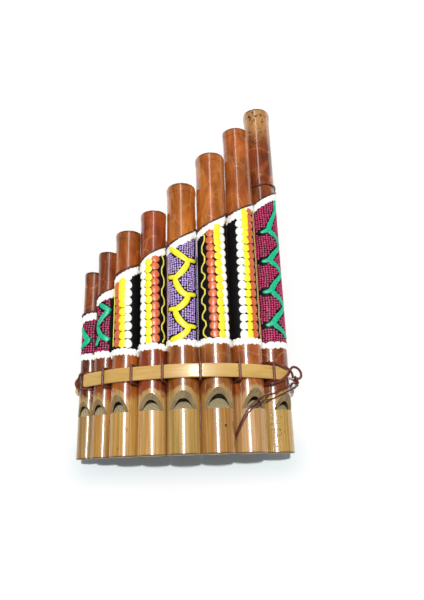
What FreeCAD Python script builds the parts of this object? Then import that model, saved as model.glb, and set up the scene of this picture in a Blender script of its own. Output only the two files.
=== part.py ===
import FreeCAD, Part
import math, os

# Bamboo pan flute: eight whistle pipes lashed in an arched row.
# Frame: the flute lies on its back. +X runs from the shortest pipe to the
# longest, +Y runs along the pipes from the mouth ends to the closed ends, +Z
# points out of the decorated face. z = 0 is the table and the origin is the
# centre of the footprint. Inside the script y = 0 is the plane of the mouth
# ends, and every piece is moved by SHIFT when it is saved. Front is +Z, back
# is -Z, left is -X and right is +X. Lengths are mm. Angles round a pipe are
# degrees from +Z toward +X. Pipes and gaps are indexed from 0 at the left.

V = FreeCAD.Vector
Y_AXIS = V(0, 1, 0)

# Pipes, one column per pipe
PIPE_X = [-48.78, -39.87, -28.65, -15.05, -0.05, 16.10, 31.62, 45.34]
ROW_Z = [7.72, 13.54, 19.54, 23.30, 25.49, 24.81, 20.09, 11.16]
PIPE_R_MOUTH = [4.72, 5.54, 6.78, 6.92, 7.79, 7.99, 7.83, 8.16]
PIPE_R_TOP = [4.55, 5.27, 6.45, 6.55, 7.40, 7.62, 7.38, 7.56]
PIPE_LEN = [96.8, 105.8, 114.6, 124.3, 138.3, 157.3, 176.7, 196.1]
WALL = [1.0, 1.05, 1.2, 1.4, 1.4, 1.4, 1.4, 1.45]
WINDOW_LEN = [7.5, 7.8, 8.4, 8.2, 9.0, 9.8, 9.8, 8.2]
WINDOW_DEPTH = [2.3, 2.5, 2.9, 3.5, 3.5, 4.4, 3.5, 3.5]
WINDOW_TURN = [-25.0, -26.0, -29.0, -1.0, 2.0, 6.0, 24.0, 42.0]
WINDWAY = [0.8, 0.85, 0.95, 1.1, 1.1, 1.2, 1.1, 1.1]     # flat above each plug

N = len(PIPE_X)
LAST = N - 1
LIFT = 3.005                      # raises ROW_Z so that the flute rests on z = 0
PIPE_Z = [z + LIFT for z in ROW_Z]
SHIFT = V(-1.020, -PIPE_LEN[LAST] / 2, 0)

MOUTH_EASE_R, MOUTH_EASE_Y = 0.3, 0.35     # bevel round the mouth end
TAPER_STOP = 8.0                  # the straight taper stops this far from the closed end
RIM_FLARE = 1.05                  # node swelling at the closed end
# distance from the closed end, factor on the top radius
RIM_PROFILE = [(TAPER_STOP, 1.0), (5.0, 1.012), (2.4, RIM_FLARE), (0.5, RIM_FLARE - 0.012)]
RIM_EASE = 0.5
NODE_WALL = 2.2                   # thickness of the grown end wall
NODE_RECESS = 2.3                 # depth of the cup above it
CUP_FLOOR, CUP_RIM = 0.86, 0.97   # cup radii as fractions of the bore
WINDOW_Y = 20.2                   # straight edge of every window
WINDOW_RUN_OUT = 2.0              # window cutter's ramp continues past the surface
WINDOW_CLEAR = 3.0                # cutter height above the pipe surface
PLUG_CLEAR = 0.03
PLUG_STEP = 0.2                   # plug flat stops this far before the window edge
NOSE_LEN = 6.0                    # sloping end of the plug
NOSE_DROP = 0.25                  # its low end below the axis, as a fraction of plug radius
OVERSHOOT = 1.0                   # cutters run this far past what they cut
GROWTH = 0.01                     # pipes grow by this to trim the strips and cords

# Strips across the row
FRONT_Y = (34.3, 40.9)
FRONT_X = (-50.4, 53.2)
FRONT_CORNER = 1.6
ARC_MID = 0.293                   # midpoint of a quarter arc, as a fraction of its radius
BACK_Y = (33.0, 41.0)
BACK_X = (-57.8, 52.6)
BACK_CORNER = 2.2
STRIP_T = 1.7
STRIP_CLEAR = 0.03
STRIP_MID_Y = sum(FRONT_Y) / 2.0
TRIM_H = 60                       # height of the plan cutters
CURVE_STEPS = 6                   # points per span of a strip's curve

# Cords
CORD_R = 0.65                     # lashing cord
THIN_R = 0.38                     # woven upper cord
LOOP_R = 0.42                     # hanging loop
THIN_CLEAR = 0.05
CORD_OFF = CORD_R + 0.04          # centre line above the surface it lies on
THIN_OFF = THIN_R + THIN_CLEAR
LOOP_OFF = LOOP_R + THIN_CLEAR
CORD_PITCH = 1.36                 # sideways step past another run of lashing cord

# Centre lines beside the strips' edges
Y_HI = max(FRONT_Y[1], BACK_Y[1]) + CORD_OFF
Y_LO_FRONT = FRONT_Y[0] - CORD_OFF
Y_LO_BACK = BACK_Y[0] - CORD_OFF

SEAM_TURNS = (0.0, 37.0, 101.0, 163.0, 229.0, 300.0)
LEAST_VOLUME = 0.02               # smaller slivers are dropped


# ------------------------------------------------------------------- helpers
def radius_at(i, y):
    t = min(max(y / (PIPE_LEN[i] - TAPER_STOP), 0.0), 1.0)
    return PIPE_R_MOUTH[i] + (PIPE_R_TOP[i] - PIPE_R_MOUTH[i]) * t


def bore_radius(i):
    return min(PIPE_R_MOUTH[i], PIPE_R_TOP[i]) - WALL[i]


def axis_point(i, y=0):
    return V(PIPE_X[i], y, PIPE_Z[i])


def pipe_outer(i, grow=0.0):
    """Solid outer form of pipe i, revolved from a (radius, y) outline."""
    length, mouth, top = PIPE_LEN[i], PIPE_R_MOUTH[i], PIPE_R_TOP[i]
    outline = [(0, -grow), (mouth - MOUTH_EASE_R + grow, -grow), (mouth + grow, MOUTH_EASE_Y)]
    outline += [(top * factor + grow, length - inset) for inset, factor in RIM_PROFILE]
    outline += [(top * RIM_FLARE - RIM_EASE + grow, length + grow), (0, length + grow)]
    base = axis_point(i)
    points = [base + V(r, y, 0) for r, y in outline]
    face = Part.Face(Part.makePolygon(points + [points[0]]))
    return face.revolve(base, Y_AXIS, 360)


def prism(i, outline, half):
    """(height above axis, y) outline extruded both ways across pipe i, at its window's turn."""
    base = axis_point(i)
    points = [base + V(-half, y, height) for height, y in outline]
    face = Part.Face(Part.makePolygon(points + [points[0]]))
    solid = face.extrude(V(2 * half, 0, 0))
    solid.rotate(base, Y_AXIS, WINDOW_TURN[i])
    return solid


def line(start, end):
    return Part.LineSegment(start, end).toShape()


def sweep(wire, start, direction, radius):
    ring = Part.Wire([Part.Circle(start, direction, radius).toShape()])
    return wire.makePipeShell([ring], True, False, 0)


def cord(points, radius, bend):
    """Round cord along a polyline with every corner eased by an arc of radius bend."""
    path = [points[0]]
    for point in points[1:]:
        if (point - path[-1]).Length > 1e-4:
            path.append(point)
    edges, start = [], path[0]
    for before, corner, after in zip(path, path[1:], path[2:]):
        back, ahead = before - corner, after - corner
        back_len, ahead_len = back.Length, ahead.Length
        back = back * (1.0 / back_len)
        ahead = ahead * (1.0 / ahead_len)
        angle = back.getAngle(ahead)
        if angle > math.pi - 0.02:
            edges.append(line(start, corner))
            start = corner
            continue
        # short segments force a tighter bend
        setback = min(bend / math.tan(angle / 2.0), 0.46 * back_len, 0.46 * ahead_len)
        arc_r = setback * math.tan(angle / 2.0)
        arc_start, arc_end = corner + back * setback, corner + ahead * setback
        bisector = back + ahead
        bisector = bisector * (1.0 / bisector.Length)
        centre = corner + bisector * (arc_r / math.sin(angle / 2.0))
        if (arc_start - start).Length > 1e-6:
            edges.append(line(start, arc_start))
        edges.append(Part.Arc(arc_start, centre - bisector * arc_r, arc_end).toShape())
        start = arc_end
    edges.append(line(start, path[-1]))
    solid = sweep(Part.Wire(edges), path[0], path[1] - path[0], radius)
    if solid.ShapeType != "Solid":
        solid = Part.Solid(solid.Shells[0])
    if solid.Volume < 0:
        solid.reverse()
    return solid


def cut_one(shape, tool):
    """Cut a tool away, turning its seam until the result is sound."""
    for turn in SEAM_TURNS:
        trial = tool.copy()
        if turn:
            centre = tool.BoundBox.Center
            trial.rotate(V(centre.x, 0, centre.z), Y_AXIS, turn)
        # guards against the boolean failing where seams nearly coincide
        try:
            result = shape.cut(trial)
            shrunk = 0 < result.Volume <= shape.Volume + 1e-6
            if shrunk and result.isValid():
                return result
        except (ValueError, Part.OCCError):
            continue
    return shape


def cut_all(shape, tools):
    bounds = shape.BoundBox
    for tool in tools:
        if tool.BoundBox.intersect(bounds):
            shape = cut_one(shape, tool)
    return shape


def save(name, *shapes):
    """Export the solids of the shapes as one piece and return it unshifted."""
    solids = [s for shape in shapes for s in shape.Solids if s.Volume > LEAST_VOLUME]
    piece = solids[0] if len(solids) == 1 else Part.makeCompound(solids)
    moved = piece.copy()
    moved.translate(SHIFT)
    moved.exportStep("parts/%s.step" % name)
    return piece


# --------------------------------------------------------------- strip curves
# side is +1 for the front strip and -1 for the back strip.
def tangent_slope(i, side):
    """Slope angle of the common tangent of pipes i and i+1."""
    dx, dz = PIPE_X[i + 1] - PIPE_X[i], PIPE_Z[i + 1] - PIPE_Z[i]
    span = math.hypot(dx, dz)
    sine = (radius_at(i, STRIP_MID_Y) - radius_at(i + 1, STRIP_MID_Y)) / span
    cosine = math.sqrt(1 - sine * sine)
    dx, dz = dx / span, dz / span
    nx = dx * sine - side * dz * cosine
    nz = dz * sine + side * dx * cosine
    return math.atan2(-side * nx, side * nz)


def hermite(u, span, start, start_dir, end, end_dir):
    """Position and slope, in one coordinate, of a cubic span at u from 0 to 1."""
    position = ((2 * u**3 - 3 * u**2 + 1) * start + (u**3 - 2 * u**2 + u) * span * start_dir
                + (-2 * u**3 + 3 * u**2) * end + (u**3 - u**2) * span * end_dir)
    slope = ((6 * u**2 - 6 * u) * (start - end) + (3 * u**2 - 4 * u + 1) * span * start_dir
             + (3 * u**2 - 2 * u) * span * end_dir)
    return position, slope


def strip_curve(side, first_deg, last_deg, lead_left, lead_right):
    """Dense (x, z) points and outward normals of the strip face that touches the pipes."""
    pair = [tangent_slope(i, side) for i in range(LAST)]
    middle = [(a + b) / 2.0 for a, b in zip(pair, pair[1:])]
    slopes = [math.radians(first_deg)] + middle + [math.radians(last_deg)]
    points = []
    tangents = [(math.cos(a), math.sin(a)) for a in slopes]
    for i, (tx, tz) in enumerate(tangents):
        reach = radius_at(i, STRIP_MID_Y) + STRIP_CLEAR
        points.append((PIPE_X[i] - reach * side * tz, PIPE_Z[i] + reach * side * tx))
    # straight leads past the end pipes
    (x, z), (tx, tz) = points[0], tangents[0]
    points.insert(0, (x - lead_left * tx, z - lead_left * tz))
    (x, z), (tx, tz) = points[-1], tangents[-1]
    points.append((x + lead_right * tx, z + lead_right * tz))
    tangents = [tangents[0]] + tangents + [tangents[-1]]

    curve = []
    for k in range(len(points) - 1):
        (x0, z0), (x1, z1) = points[k], points[k + 1]
        (tx0, tz0), (tx1, tz1) = tangents[k], tangents[k + 1]
        span = math.hypot(x1 - x0, z1 - z0)
        closing = 1 if k == len(points) - 2 else 0
        for j in range(CURVE_STEPS + closing):
            u = j / float(CURVE_STEPS)
            x, tx = hermite(u, span, x0, tx0, x1, tx1)
            z, tz = hermite(u, span, z0, tz0, z1, tz1)
            size = math.hypot(tx, tz)
            curve.append(((x, z), (-side * tz / size, side * tx / size)))
    return curve


def offset_points(curve, distance):
    return [(p[0] + n[0] * distance, p[1] + n[1] * distance) for p, n in curve]


def strip_solid(curve, y_range):
    low, high = y_range
    inner = [V(x, low, z) for x, z in offset_points(curve, 0)]
    outer = [V(x, low, z) for x, z in offset_points(curve, STRIP_T)]
    inner_curve, outer_curve = Part.BSplineCurve(), Part.BSplineCurve()
    inner_curve.interpolate(inner)
    outer_curve.interpolate(outer)
    wire = Part.Wire([inner_curve.toShape(), line(inner[-1], outer[-1]),
                      outer_curve.toShape(), line(outer[0], inner[0])])
    return Part.Face(wire).extrude(V(0, high - low, 0))


def reach_strip(curve, start, direction):
    """Distance from start along direction to the outer face of a strip."""
    hits = []
    points = offset_points(curve, STRIP_T)
    dx, dz = direction
    for (x0, z0), (x1, z1) in zip(points, points[1:]):
        ex, ez = x1 - x0, z1 - z0
        det = dx * ez - dz * ex
        if abs(det) < 1e-9:
            continue
        distance = ((x0 - start[0]) * ez - (z0 - start[1]) * ex) / det
        u = ((x0 - start[0]) * dz - (z0 - start[1]) * dx) / det
        if -1e-6 <= u <= 1 + 1e-6 and distance > 0:
            hits.append(distance)
    return min(hits)


def under_back_strip(x):
    """Height of a lashing cord's centre line where it passes under the back strip."""
    height = None
    points = offset_points(back_curve, STRIP_T + CORD_OFF)
    for (x0, z0), (x1, z1) in zip(points, points[1:]):
        if x0 <= x <= x1:
            height = z0 + (z1 - z0) * (x - x0) / (x1 - x0)
    return height


front_curve = strip_curve(1, first_deg=35.0, last_deg=-36.0, lead_left=3.0, lead_right=7.0)
back_curve = strip_curve(-1, first_deg=21.0, last_deg=-25.0, lead_left=14.0, lead_right=14.0)

# ---------------------------------------------------------------------- gaps
# Gap g lies between pipes g and g+1: its middle, the direction through it to
# the front, the distances to the strips' outer faces, and its angle from pipe g.
GAP_MID, GAP_DIR, GAP_FRONT, GAP_BACK, GAP_ANGLE = [], [], [], [], []
for g in range(LAST):
    dx, dz = PIPE_X[g + 1] - PIPE_X[g], PIPE_Z[g + 1] - PIPE_Z[g]
    span = math.hypot(dx, dz)
    ux, uz = dx / span, dz / span
    left_r, right_r = radius_at(g, STRIP_MID_Y), radius_at(g + 1, STRIP_MID_Y)
    along = left_r + (span - left_r - right_r) / 2.0
    middle = (PIPE_X[g] + ux * along, PIPE_Z[g] + uz * along)
    GAP_MID.append(middle)
    GAP_DIR.append((-uz, ux))
    GAP_FRONT.append(reach_strip(front_curve, middle, (-uz, ux)))
    GAP_BACK.append(reach_strip(back_curve, middle, (uz, -ux)))
    GAP_ANGLE.append(math.degrees(math.atan2(dx, dz)))
# per pipe: angles toward its right and left neighbours, level at the row's ends
TO_RIGHT = GAP_ANGLE + [90]
TO_LEFT = [-90] + [angle - 180 for angle in GAP_ANGLE]


def at_gap(g, forward, y):
    return V(GAP_MID[g][0] + GAP_DIR[g][0] * forward, y, GAP_MID[g][1] + GAP_DIR[g][1] * forward)


def polar(i, angle, y, reach):
    """Point at a distance from pipe i's axis."""
    theta = math.radians(angle)
    return V(PIPE_X[i] + reach * math.sin(theta), y, PIPE_Z[i] + reach * math.cos(theta))


def on_pipe(i, angle, y, off):
    return polar(i, angle, y, radius_at(i, y) + off)


def around(i, angles, y_range, off, n, bulge=0.0, lag=1.0):
    """n chords round pipe i that stay off clear of it.

    bulge lifts the middle of the run, and lag above 1 delays its travel along y."""
    (angle0, angle1), (y0, y1) = angles, y_range
    step = math.radians(abs(angle1 - angle0)) / n
    points = []
    for k in range(n + 1):
        u = k / float(n)
        y = y0 + (y1 - y0) * u**lag
        lift = off + bulge * math.sin(math.pi * u) ** 0.8
        reach = (radius_at(i, y) + lift) / math.cos(step / 2.0)
        points.append(polar(i, angle0 + (angle1 - angle0) * u, y, reach))
    return points


# --------------------------------------------------------------------- pipes
def make_pipe(i):
    length, bore_r = PIPE_LEN[i], bore_radius(i)
    bore = Part.makeCylinder(bore_r, length - NODE_RECESS - NODE_WALL + OVERSHOOT,
                             axis_point(i, -OVERSHOOT), Y_AXIS)
    cup = Part.makeCone(bore_r * CUP_FLOOR, bore_r * CUP_RIM, NODE_RECESS + OVERSHOOT,
                        axis_point(i, length - NODE_RECESS), Y_AXIS)
    surface = radius_at(i, WINDOW_Y)
    depth, window = WINDOW_DEPTH[i], WINDOW_LEN[i]
    far_y = WINDOW_Y + window + WINDOW_RUN_OUT
    notch = prism(i, [(surface - depth, WINDOW_Y),
                      (surface + WINDOW_RUN_OUT * depth / window, far_y),
                      (surface + WINDOW_CLEAR, far_y),
                      (surface + WINDOW_CLEAR, WINDOW_Y)], surface + 2)
    return pipe_outer(i).cut(bore).cut(cup).cut(notch)


def make_plug(i):
    """Plug in the mouth end, flat on the window side and sloped at its inner end."""
    plug_r = bore_radius(i) - PLUG_CLEAR
    flat = bore_radius(i) - WINDWAY[i]
    end_y = WINDOW_Y + NOSE_LEN
    blank = Part.makeCylinder(plug_r, end_y, axis_point(i), Y_AXIS)
    below = -plug_r - OVERSHOOT
    keep = prism(i, [(below, -OVERSHOOT), (flat, -OVERSHOOT), (flat, WINDOW_Y - PLUG_STEP),
                     (-NOSE_DROP * plug_r, end_y), (below, end_y)], plug_r + OVERSHOOT)
    return blank.common(keep)


# -------------------------------------------------------------------- strips
def make_front_bar():
    """Front strip: left end rounded, right end cut to a blunt taper."""
    def at(x, y):
        return V(x, y, -5)

    y0, y1 = FRONT_Y
    left, right = FRONT_X
    corner = FRONT_CORNER
    inset = corner * ARC_MID
    outline = [at(left + corner, y1), at(46.2, y1), at(right - 0.5, 38.5), at(right, 37.5),
               at(48.6, y0), at(left + corner, y0)]
    edges = [line(a, b) for a, b in zip(outline, outline[1:])]
    edges += [
        Part.Arc(outline[-1], at(left + inset, y0 + inset), at(left, y0 + corner)).toShape(),
        line(at(left, y0 + corner), at(left, y1 - corner)),
        Part.Arc(at(left, y1 - corner), at(left + inset, y1 - inset), outline[0]).toShape()]
    plan = Part.Face(Part.Wire(edges)).extrude(V(0, 0, TRIM_H))
    return cut_all(strip_solid(front_curve, FRONT_Y).common(plan), grown)


def make_back_bar():
    """Back strip with plain rounded ends."""
    (left, right), (y0, y1) = BACK_X, BACK_Y
    block = Part.makeBox(right - left, y1 - y0, TRIM_H, V(left, y0, -10))
    uprights = [e for e in block.Edges if abs(e.BoundBox.ZLength - TRIM_H) < 1e-6]
    block = block.makeFillet(BACK_CORNER, uprights)
    return cut_all(strip_solid(back_curve, BACK_Y).common(block), grown)


# ------------------------------------------------------------------- lashing
def make_lashing():
    """One cord: forward at the mouth side of each gap, over the front strip, back at
    the far side, slanting behind the back strip to the next gap, then to the knot."""
    points = [at_gap(0, 0.15, Y_HI), at_gap(0, -2.5, Y_HI)]
    for g in range(LAST):
        behind = GAP_BACK[g] + CORD_OFF
        if g > 0:
            ahead = GAP_FRONT[g] + CORD_OFF
            points += [at_gap(g, -behind, Y_LO_BACK),
                       at_gap(g, -behind * 0.45, Y_LO_BACK + 0.3),
                       at_gap(g, GAP_FRONT[g] * 0.45, Y_LO_FRONT - 0.2),
                       at_gap(g, ahead, Y_LO_FRONT),
                       at_gap(g, ahead, Y_HI),
                       at_gap(g, 0.0, Y_HI)]
        points.append(at_gap(g, -behind, Y_HI))
    points += [V(46.6, Y_LO_BACK - 0.3, under_back_strip(46.6)),
               V(49.4, Y_LO_BACK - 0.5, under_back_strip(49.4) + 1.6)]
    points += around(LAST, (136, 108), (31.8, 32.6), CORD_R + 0.25, 2)
    points.append(V(54.9, 34.0, PIPE_Z[LAST] + 0.2))
    return cut_all(cord(points, CORD_R, bend=1.3), keepout)


def make_left_wrap():
    """Tucked start behind the first pipe, across its flank, over its front, down the
    gap, along the back strip's edge and across the flank again."""
    front_end = GAP_ANGLE[0] - 24
    points = around(0, (-172, -128), (42.2, 42.2), CORD_OFF, 2)
    points += around(0, (-128, -46), (42.2, Y_LO_FRONT), CORD_OFF, 6, bulge=CORD_PITCH)[1:]
    points += around(0, (-46, front_end), (Y_LO_FRONT, Y_LO_FRONT), CORD_OFF, 3)[1:]
    points += [at_gap(0, 0.0, Y_LO_FRONT),
               at_gap(0, -3.2, Y_LO_BACK),
               at_gap(0, -GAP_BACK[0] - 0.2, Y_LO_BACK - 0.1),
               V(-50.5, Y_LO_BACK - 0.1, PIPE_Z[0] - 6.2),
               V(-54.2, Y_LO_BACK + 0.1, PIPE_Z[0] - 3.6)]
    points += around(0, (-112, -46), (Y_LO_BACK + 0.5, Y_HI), CORD_OFF, 5)
    points += around(0, (-46, front_end), (Y_HI, Y_HI), CORD_OFF, 3)[1:]
    points.append(at_gap(0, 0.35, Y_HI))
    return cut_all(cord(points, CORD_R, bend=1.2), keepout)


# Right end wrap: two runs from the last gap that cross over the front strip's tip
OVER_STRIP = STRIP_T + CORD_R + 0.08
# distance forward in the last gap, y
FAR_RUN_GAP = [(0.0, Y_HI + CORD_PITCH), (4.5, Y_HI + CORD_PITCH), (8.9, Y_HI + 1.0)]
NEAR_RUN_GAP = [(0.0, Y_LO_FRONT - CORD_PITCH), (4.5, Y_LO_FRONT - CORD_PITCH),
                (8.7, Y_LO_FRONT - 1.1)]
# angle round the last pipe, y, height beyond OVER_STRIP
FAR_RUN = [(10, 41.9, 0.5), (22, 40.7, 1.25), (32, 39.5, 1.5), (42, 38.1, 1.5),
           (50, 36.9, 0.9), (56, 35.9, 0.3)]
NEAR_RUN = [(6, 33.4, -0.3), (17, 34.3, 0), (27, 35.6, 0), (37, 37.2, 0),
            (47, 38.9, -0.2), (56, 40.6, -0.3), (64, 41.6, 0.5)]
# x, y, height above the last pipe's axis
NEAR_RUN_END = [(57.3, 41.0, 4.2), (58.9, 39.2, 3.6), (59.2, 37.6, 3.0)]


def make_right_run(gap_stations, stations, end_stations, bend):
    points = [at_gap(LAST - 1, forward, y) for forward, y in gap_stations]
    points += [on_pipe(LAST, angle, y, OVER_STRIP + extra) for angle, y, extra in stations]
    points += [V(x, y, PIPE_Z[LAST] + z) for x, y, z in end_stations]
    return cut_all(cord(points, CORD_R, bend), keepout + [lashing])


# ---------------------------------------------------- hanging loop and knot
KNOT = V(56.6, 35.1, PIPE_Z[LAST] + 2.0)
KNOT_CORD_R = 0.52
KNOT_SCALE = V(0.92, 1.0, 1.12) * 0.66
KNOT_OPEN = 0.10                  # curve parameter left open at each end
KNOT_STEPS = 48
KNOT_TILT = 62
TAIL_START = 1.15                 # distance of a tail's tip from its strand start

# Hinge line through both strand starts
HINGE = V(54.2, 31.9, PIPE_Z[LAST] + 4.9)
HINGE_AXIS = V(-0.695, 0.719, 0)
HINGE_AXIS.normalize()
HINGE_OUT = V(0.719, 0.695, 0)    # level, square to the hinge, toward +X +Y
UPPER_START = HINGE + HINGE_AXIS * 1.1
LOWER_START = HINGE - HINGE_AXIS * 1.1

# Strands and tip of the loop: pipe index, angle, y, height beyond LOOP_OFF
UPPER_STRAND = [
    (7, 44, 31.1, 0.25), (7, 30.5, 30.3, 0), (7, 11.5, 29.3, 0), (7, -5, 28.3, 0),
    (7, -20, 27.5, 0.1), (6, 62, 26.3, 0), (6, 48, 25.5, 0), (6, 33, 24.7, 0),
    (6, 21, 23.6, 0), (6, 9, 22.5, 0), (6, -3, 21.1, 0), (6, -15, 18.6, 0),
    (6, -25, 16.6, 0), (6, -36, 14.2, 0), (6, -47, 11.7, 0), (6, -57, 9.6, 0),
    (6, -66, 8.0, 0)]
LOWER_STRAND = [
    (7, 48, 29.5, 0.35), (7, 29, 28.1, 0), (7, 10, 26.9, 0), (7, -6.5, 25.9, 0),
    (7, -22, 25.0, 0.1), (6, 58, 24.2, 0), (6, 45, 23.4, 0), (6, 30, 22.2, 0),
    (6, 17, 21.1, 0), (6, 5, 20.2, 0), (6, -5, 18.8, 0), (6, -16.5, 16.6, 0),
    (6, -28, 14.2, 0), (6, -39, 11.8, 0), (6, -49, 9.6, 0), (6, -58, 7.6, 0)]
LOOP_TIP = [(6, -72, 6.9, 0.1), (6, -72, 5.6, 0.3), (6, -65, 5.5, 0.3)]


def make_loop():
    def laid(stations):
        return [on_pipe(i, angle, y, LOOP_OFF + extra) for i, angle, y, extra in stations]

    def strand(start, drop, stations):
        return [start, start - HINGE_OUT * 1.2 + V(0, 0, -drop)] + laid(stations)

    upper = strand(UPPER_START, 0.25, UPPER_STRAND)
    lower = strand(LOWER_START, 0.2, LOWER_STRAND)
    loop = cord(upper + laid(LOOP_TIP) + lower[::-1], LOOP_R, bend=1.6)
    for start in (UPPER_START, LOWER_START):
        loop = loop.fuse(Part.makeSphere(LOOP_R, start))
    return cut_all(loop.removeSplitter(), grown)


def make_tail(strand_start, end):
    """Straight round-tipped tail from near a strand start into the knot."""
    direction = end - strand_start
    direction.normalize()
    tip = strand_start + direction * TAIL_START
    tail = Part.makeCylinder(LOOP_R, (end - tip).Length, tip, end - tip)
    return tail.fuse(Part.makeSphere(LOOP_R, tip))


def make_knot():
    """Overhand knot, a trefoil left open, with two tails toward the mouth ends."""
    points = []
    for k in range(KNOT_STEPS + 1):
        t = KNOT_OPEN + (2 * math.pi - 2 * KNOT_OPEN) * k / KNOT_STEPS
        reach = 2 + math.cos(3 * t)
        points.append(V(reach * math.cos(2 * t) * KNOT_SCALE.x,
                        reach * math.sin(2 * t) * KNOT_SCALE.y,
                        math.sin(3 * t) * KNOT_SCALE.z))
    curve = Part.BSplineCurve()
    curve.interpolate(points)
    direction = curve.tangent(curve.FirstParameter)[0]
    tube = sweep(Part.Wire([curve.toShape()]), points[0], direction, KNOT_CORD_R)
    tube.rotate(V(0, 0, 0), Y_AXIS, KNOT_TILT)
    tube.translate(KNOT)
    tails = [make_tail(UPPER_START, KNOT + V(-1.5, -1.6, 1.0)),
             make_tail(LOWER_START, KNOT + V(0.6, -2.6, 0.4))]
    return cut_all(tube.fuse(tails), grown + [lashing, right_wrap])


# ---------------------------------------------------------------- upper cord
# A thin cord folded round the first pipe, its two legs woven over and under
# the pipes, with a second turn on the last pipe.
# y in each gap of the leg going from front to back, then of the front leg's end
Y_IN = [75.5, 85.6, 96.0, 104.6, 113.6, 124.5, 134.2, 142.5]
# y in each gap of the leg coming from back to front, then of the back leg's end
Y_OUT = [77.6, 88.6, 93.4, 102.8, 112.0, 122.8, 132.6, 145.5]
OVER_LAG = [1.0, 1.0, 1.35, 1.0, 1.6, 1.65, 1.6, 1.05]   # per pipe, delays the front crossing
GAP_EASE = 15                     # degrees a crossing stops short of the gap line
RETURN_Y = 143.8                  # where the second turn enters the last gap
CHEEK_W, CHEEK_L = 10, 6          # across the gap, along the pipes


def over(i, y0, y1):
    return around(i, (TO_LEFT[i] + GAP_EASE, TO_RIGHT[i] - GAP_EASE), (y0, y1), THIN_OFF, 6,
                  lag=OVER_LAG[i])


def under(i, y0, y1):
    return around(i, (TO_LEFT[i] + 360 - GAP_EASE, TO_RIGHT[i] + GAP_EASE), (y0, y1),
                  THIN_OFF, 6)


def gap_cheeks(g, y):
    """The two pipe walls beside a gap, only where a cord squeezes through."""
    half = 0.5 * min(radius_at(g, y), radius_at(g + 1, y)) + 0.9
    cheeks = []
    for i in (g, g + 1):
        box = Part.makeBox(CHEEK_W, CHEEK_L, 2 * half, V(-CHEEK_W / 2, -CHEEK_L / 2, -half))
        box.rotate(V(0, 0, 0), Y_AXIS, GAP_ANGLE[g] - 90)
        box.translate(at_gap(g, 0.0, y))
        rod = Part.makeCylinder(radius_at(i, y) + 0.02, CHEEK_L,
                                axis_point(i, y - CHEEK_L / 2), Y_AXIS)
        cheeks.append(rod.common(box))
    return cheeks


def make_upper_cords():
    leg_a = around(0, (-176, -75), (72.2, 73.0), THIN_OFF, 4) + over(0, 73.1, Y_IN[0] - 0.5)[1:]
    leg_b = around(0, (-181.5, TO_RIGHT[0] - 360 + GAP_EASE), (72.2, 77.2), THIN_OFF, 3)
    front, back = leg_a, leg_b
    for g in range(LAST):
        front.append(at_gap(g, 0.0, Y_IN[g]))
        front.extend(under(g + 1, Y_IN[g], Y_OUT[g + 1]))
        back.append(at_gap(g, 0.0, Y_OUT[g]))
        back.extend(over(g + 1, Y_OUT[g], Y_IN[g + 1]))
        front, back = back, front
    # leg a ends behind the last pipe: up its flank and over the front once more
    leg_a += around(LAST, (92, TO_LEFT[LAST] + GAP_EASE), (145.9, 144.2), THIN_OFF, 7)
    leg_a.append(at_gap(LAST - 1, 0.0, RETURN_Y))
    # leg b ends on the last pipe's flank
    leg_b += around(LAST, (86, 116), (142.9, 143.6), THIN_OFF, 2)
    legs = [cord(leg, THIN_R, bend=1.4) for leg in (leg_a, leg_b)]

    crossings = [(g, y) for g in range(LAST) for y in (Y_IN[g], Y_OUT[g])]
    crossings.append((LAST - 1, RETURN_Y))
    for g, y in crossings:
        for cheek in gap_cheeks(g, y):
            legs = [leg.cut(cheek) if leg.BoundBox.intersect(cheek.BoundBox) else leg
                    for leg in legs]
    return legs


# --------------------------------------------------------------------- build
os.makedirs("parts", exist_ok=True)
grown = [pipe_outer(i, GROWTH) for i in range(N)]
for i in range(N):
    save("pipe_%d" % (i + 1), make_pipe(i))
    save("plug_%d" % (i + 1), make_plug(i))

front_bar = save("front_bar", make_front_bar())
back_bar = save("back_bar", make_back_bar())
keepout = grown + [front_bar, back_bar]

lashing = save("lashing_cord", make_lashing())
save("left_end_wrap", make_left_wrap())
right_wrap = save("right_end_wrap",
                  make_right_run(FAR_RUN_GAP, FAR_RUN, [], bend=1.6),
                  make_right_run(NEAR_RUN_GAP, NEAR_RUN, NEAR_RUN_END, bend=1.3))
save("hanging_loop", make_loop())
save("cord_knot", make_knot())

upper_a, upper_b = make_upper_cords()
save("upper_cord_a", upper_a)
save("upper_cord_b", upper_b)
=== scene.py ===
# Eight bamboo pipes lashed side by side between two split strips, with painted middles.
# The pipes lie along Y: plugged mouth ends at low Y, closed ends at high Y. They grow longer
# toward +X. The fronts, with the windows and the paint, face up (+Z); the floor is below.
#
# Working space is in mm: x from a datum by the fifth pipe's axis, y from the mouth ends, z up.
# Pipes are indexed from 0 and named from 1. Angles round a pipe run from +Z toward +X.
import math
import random
from functools import cached_property

import bpy
import bmesh
import numpy as np
from mathutils import Vector, Matrix, noise

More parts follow.
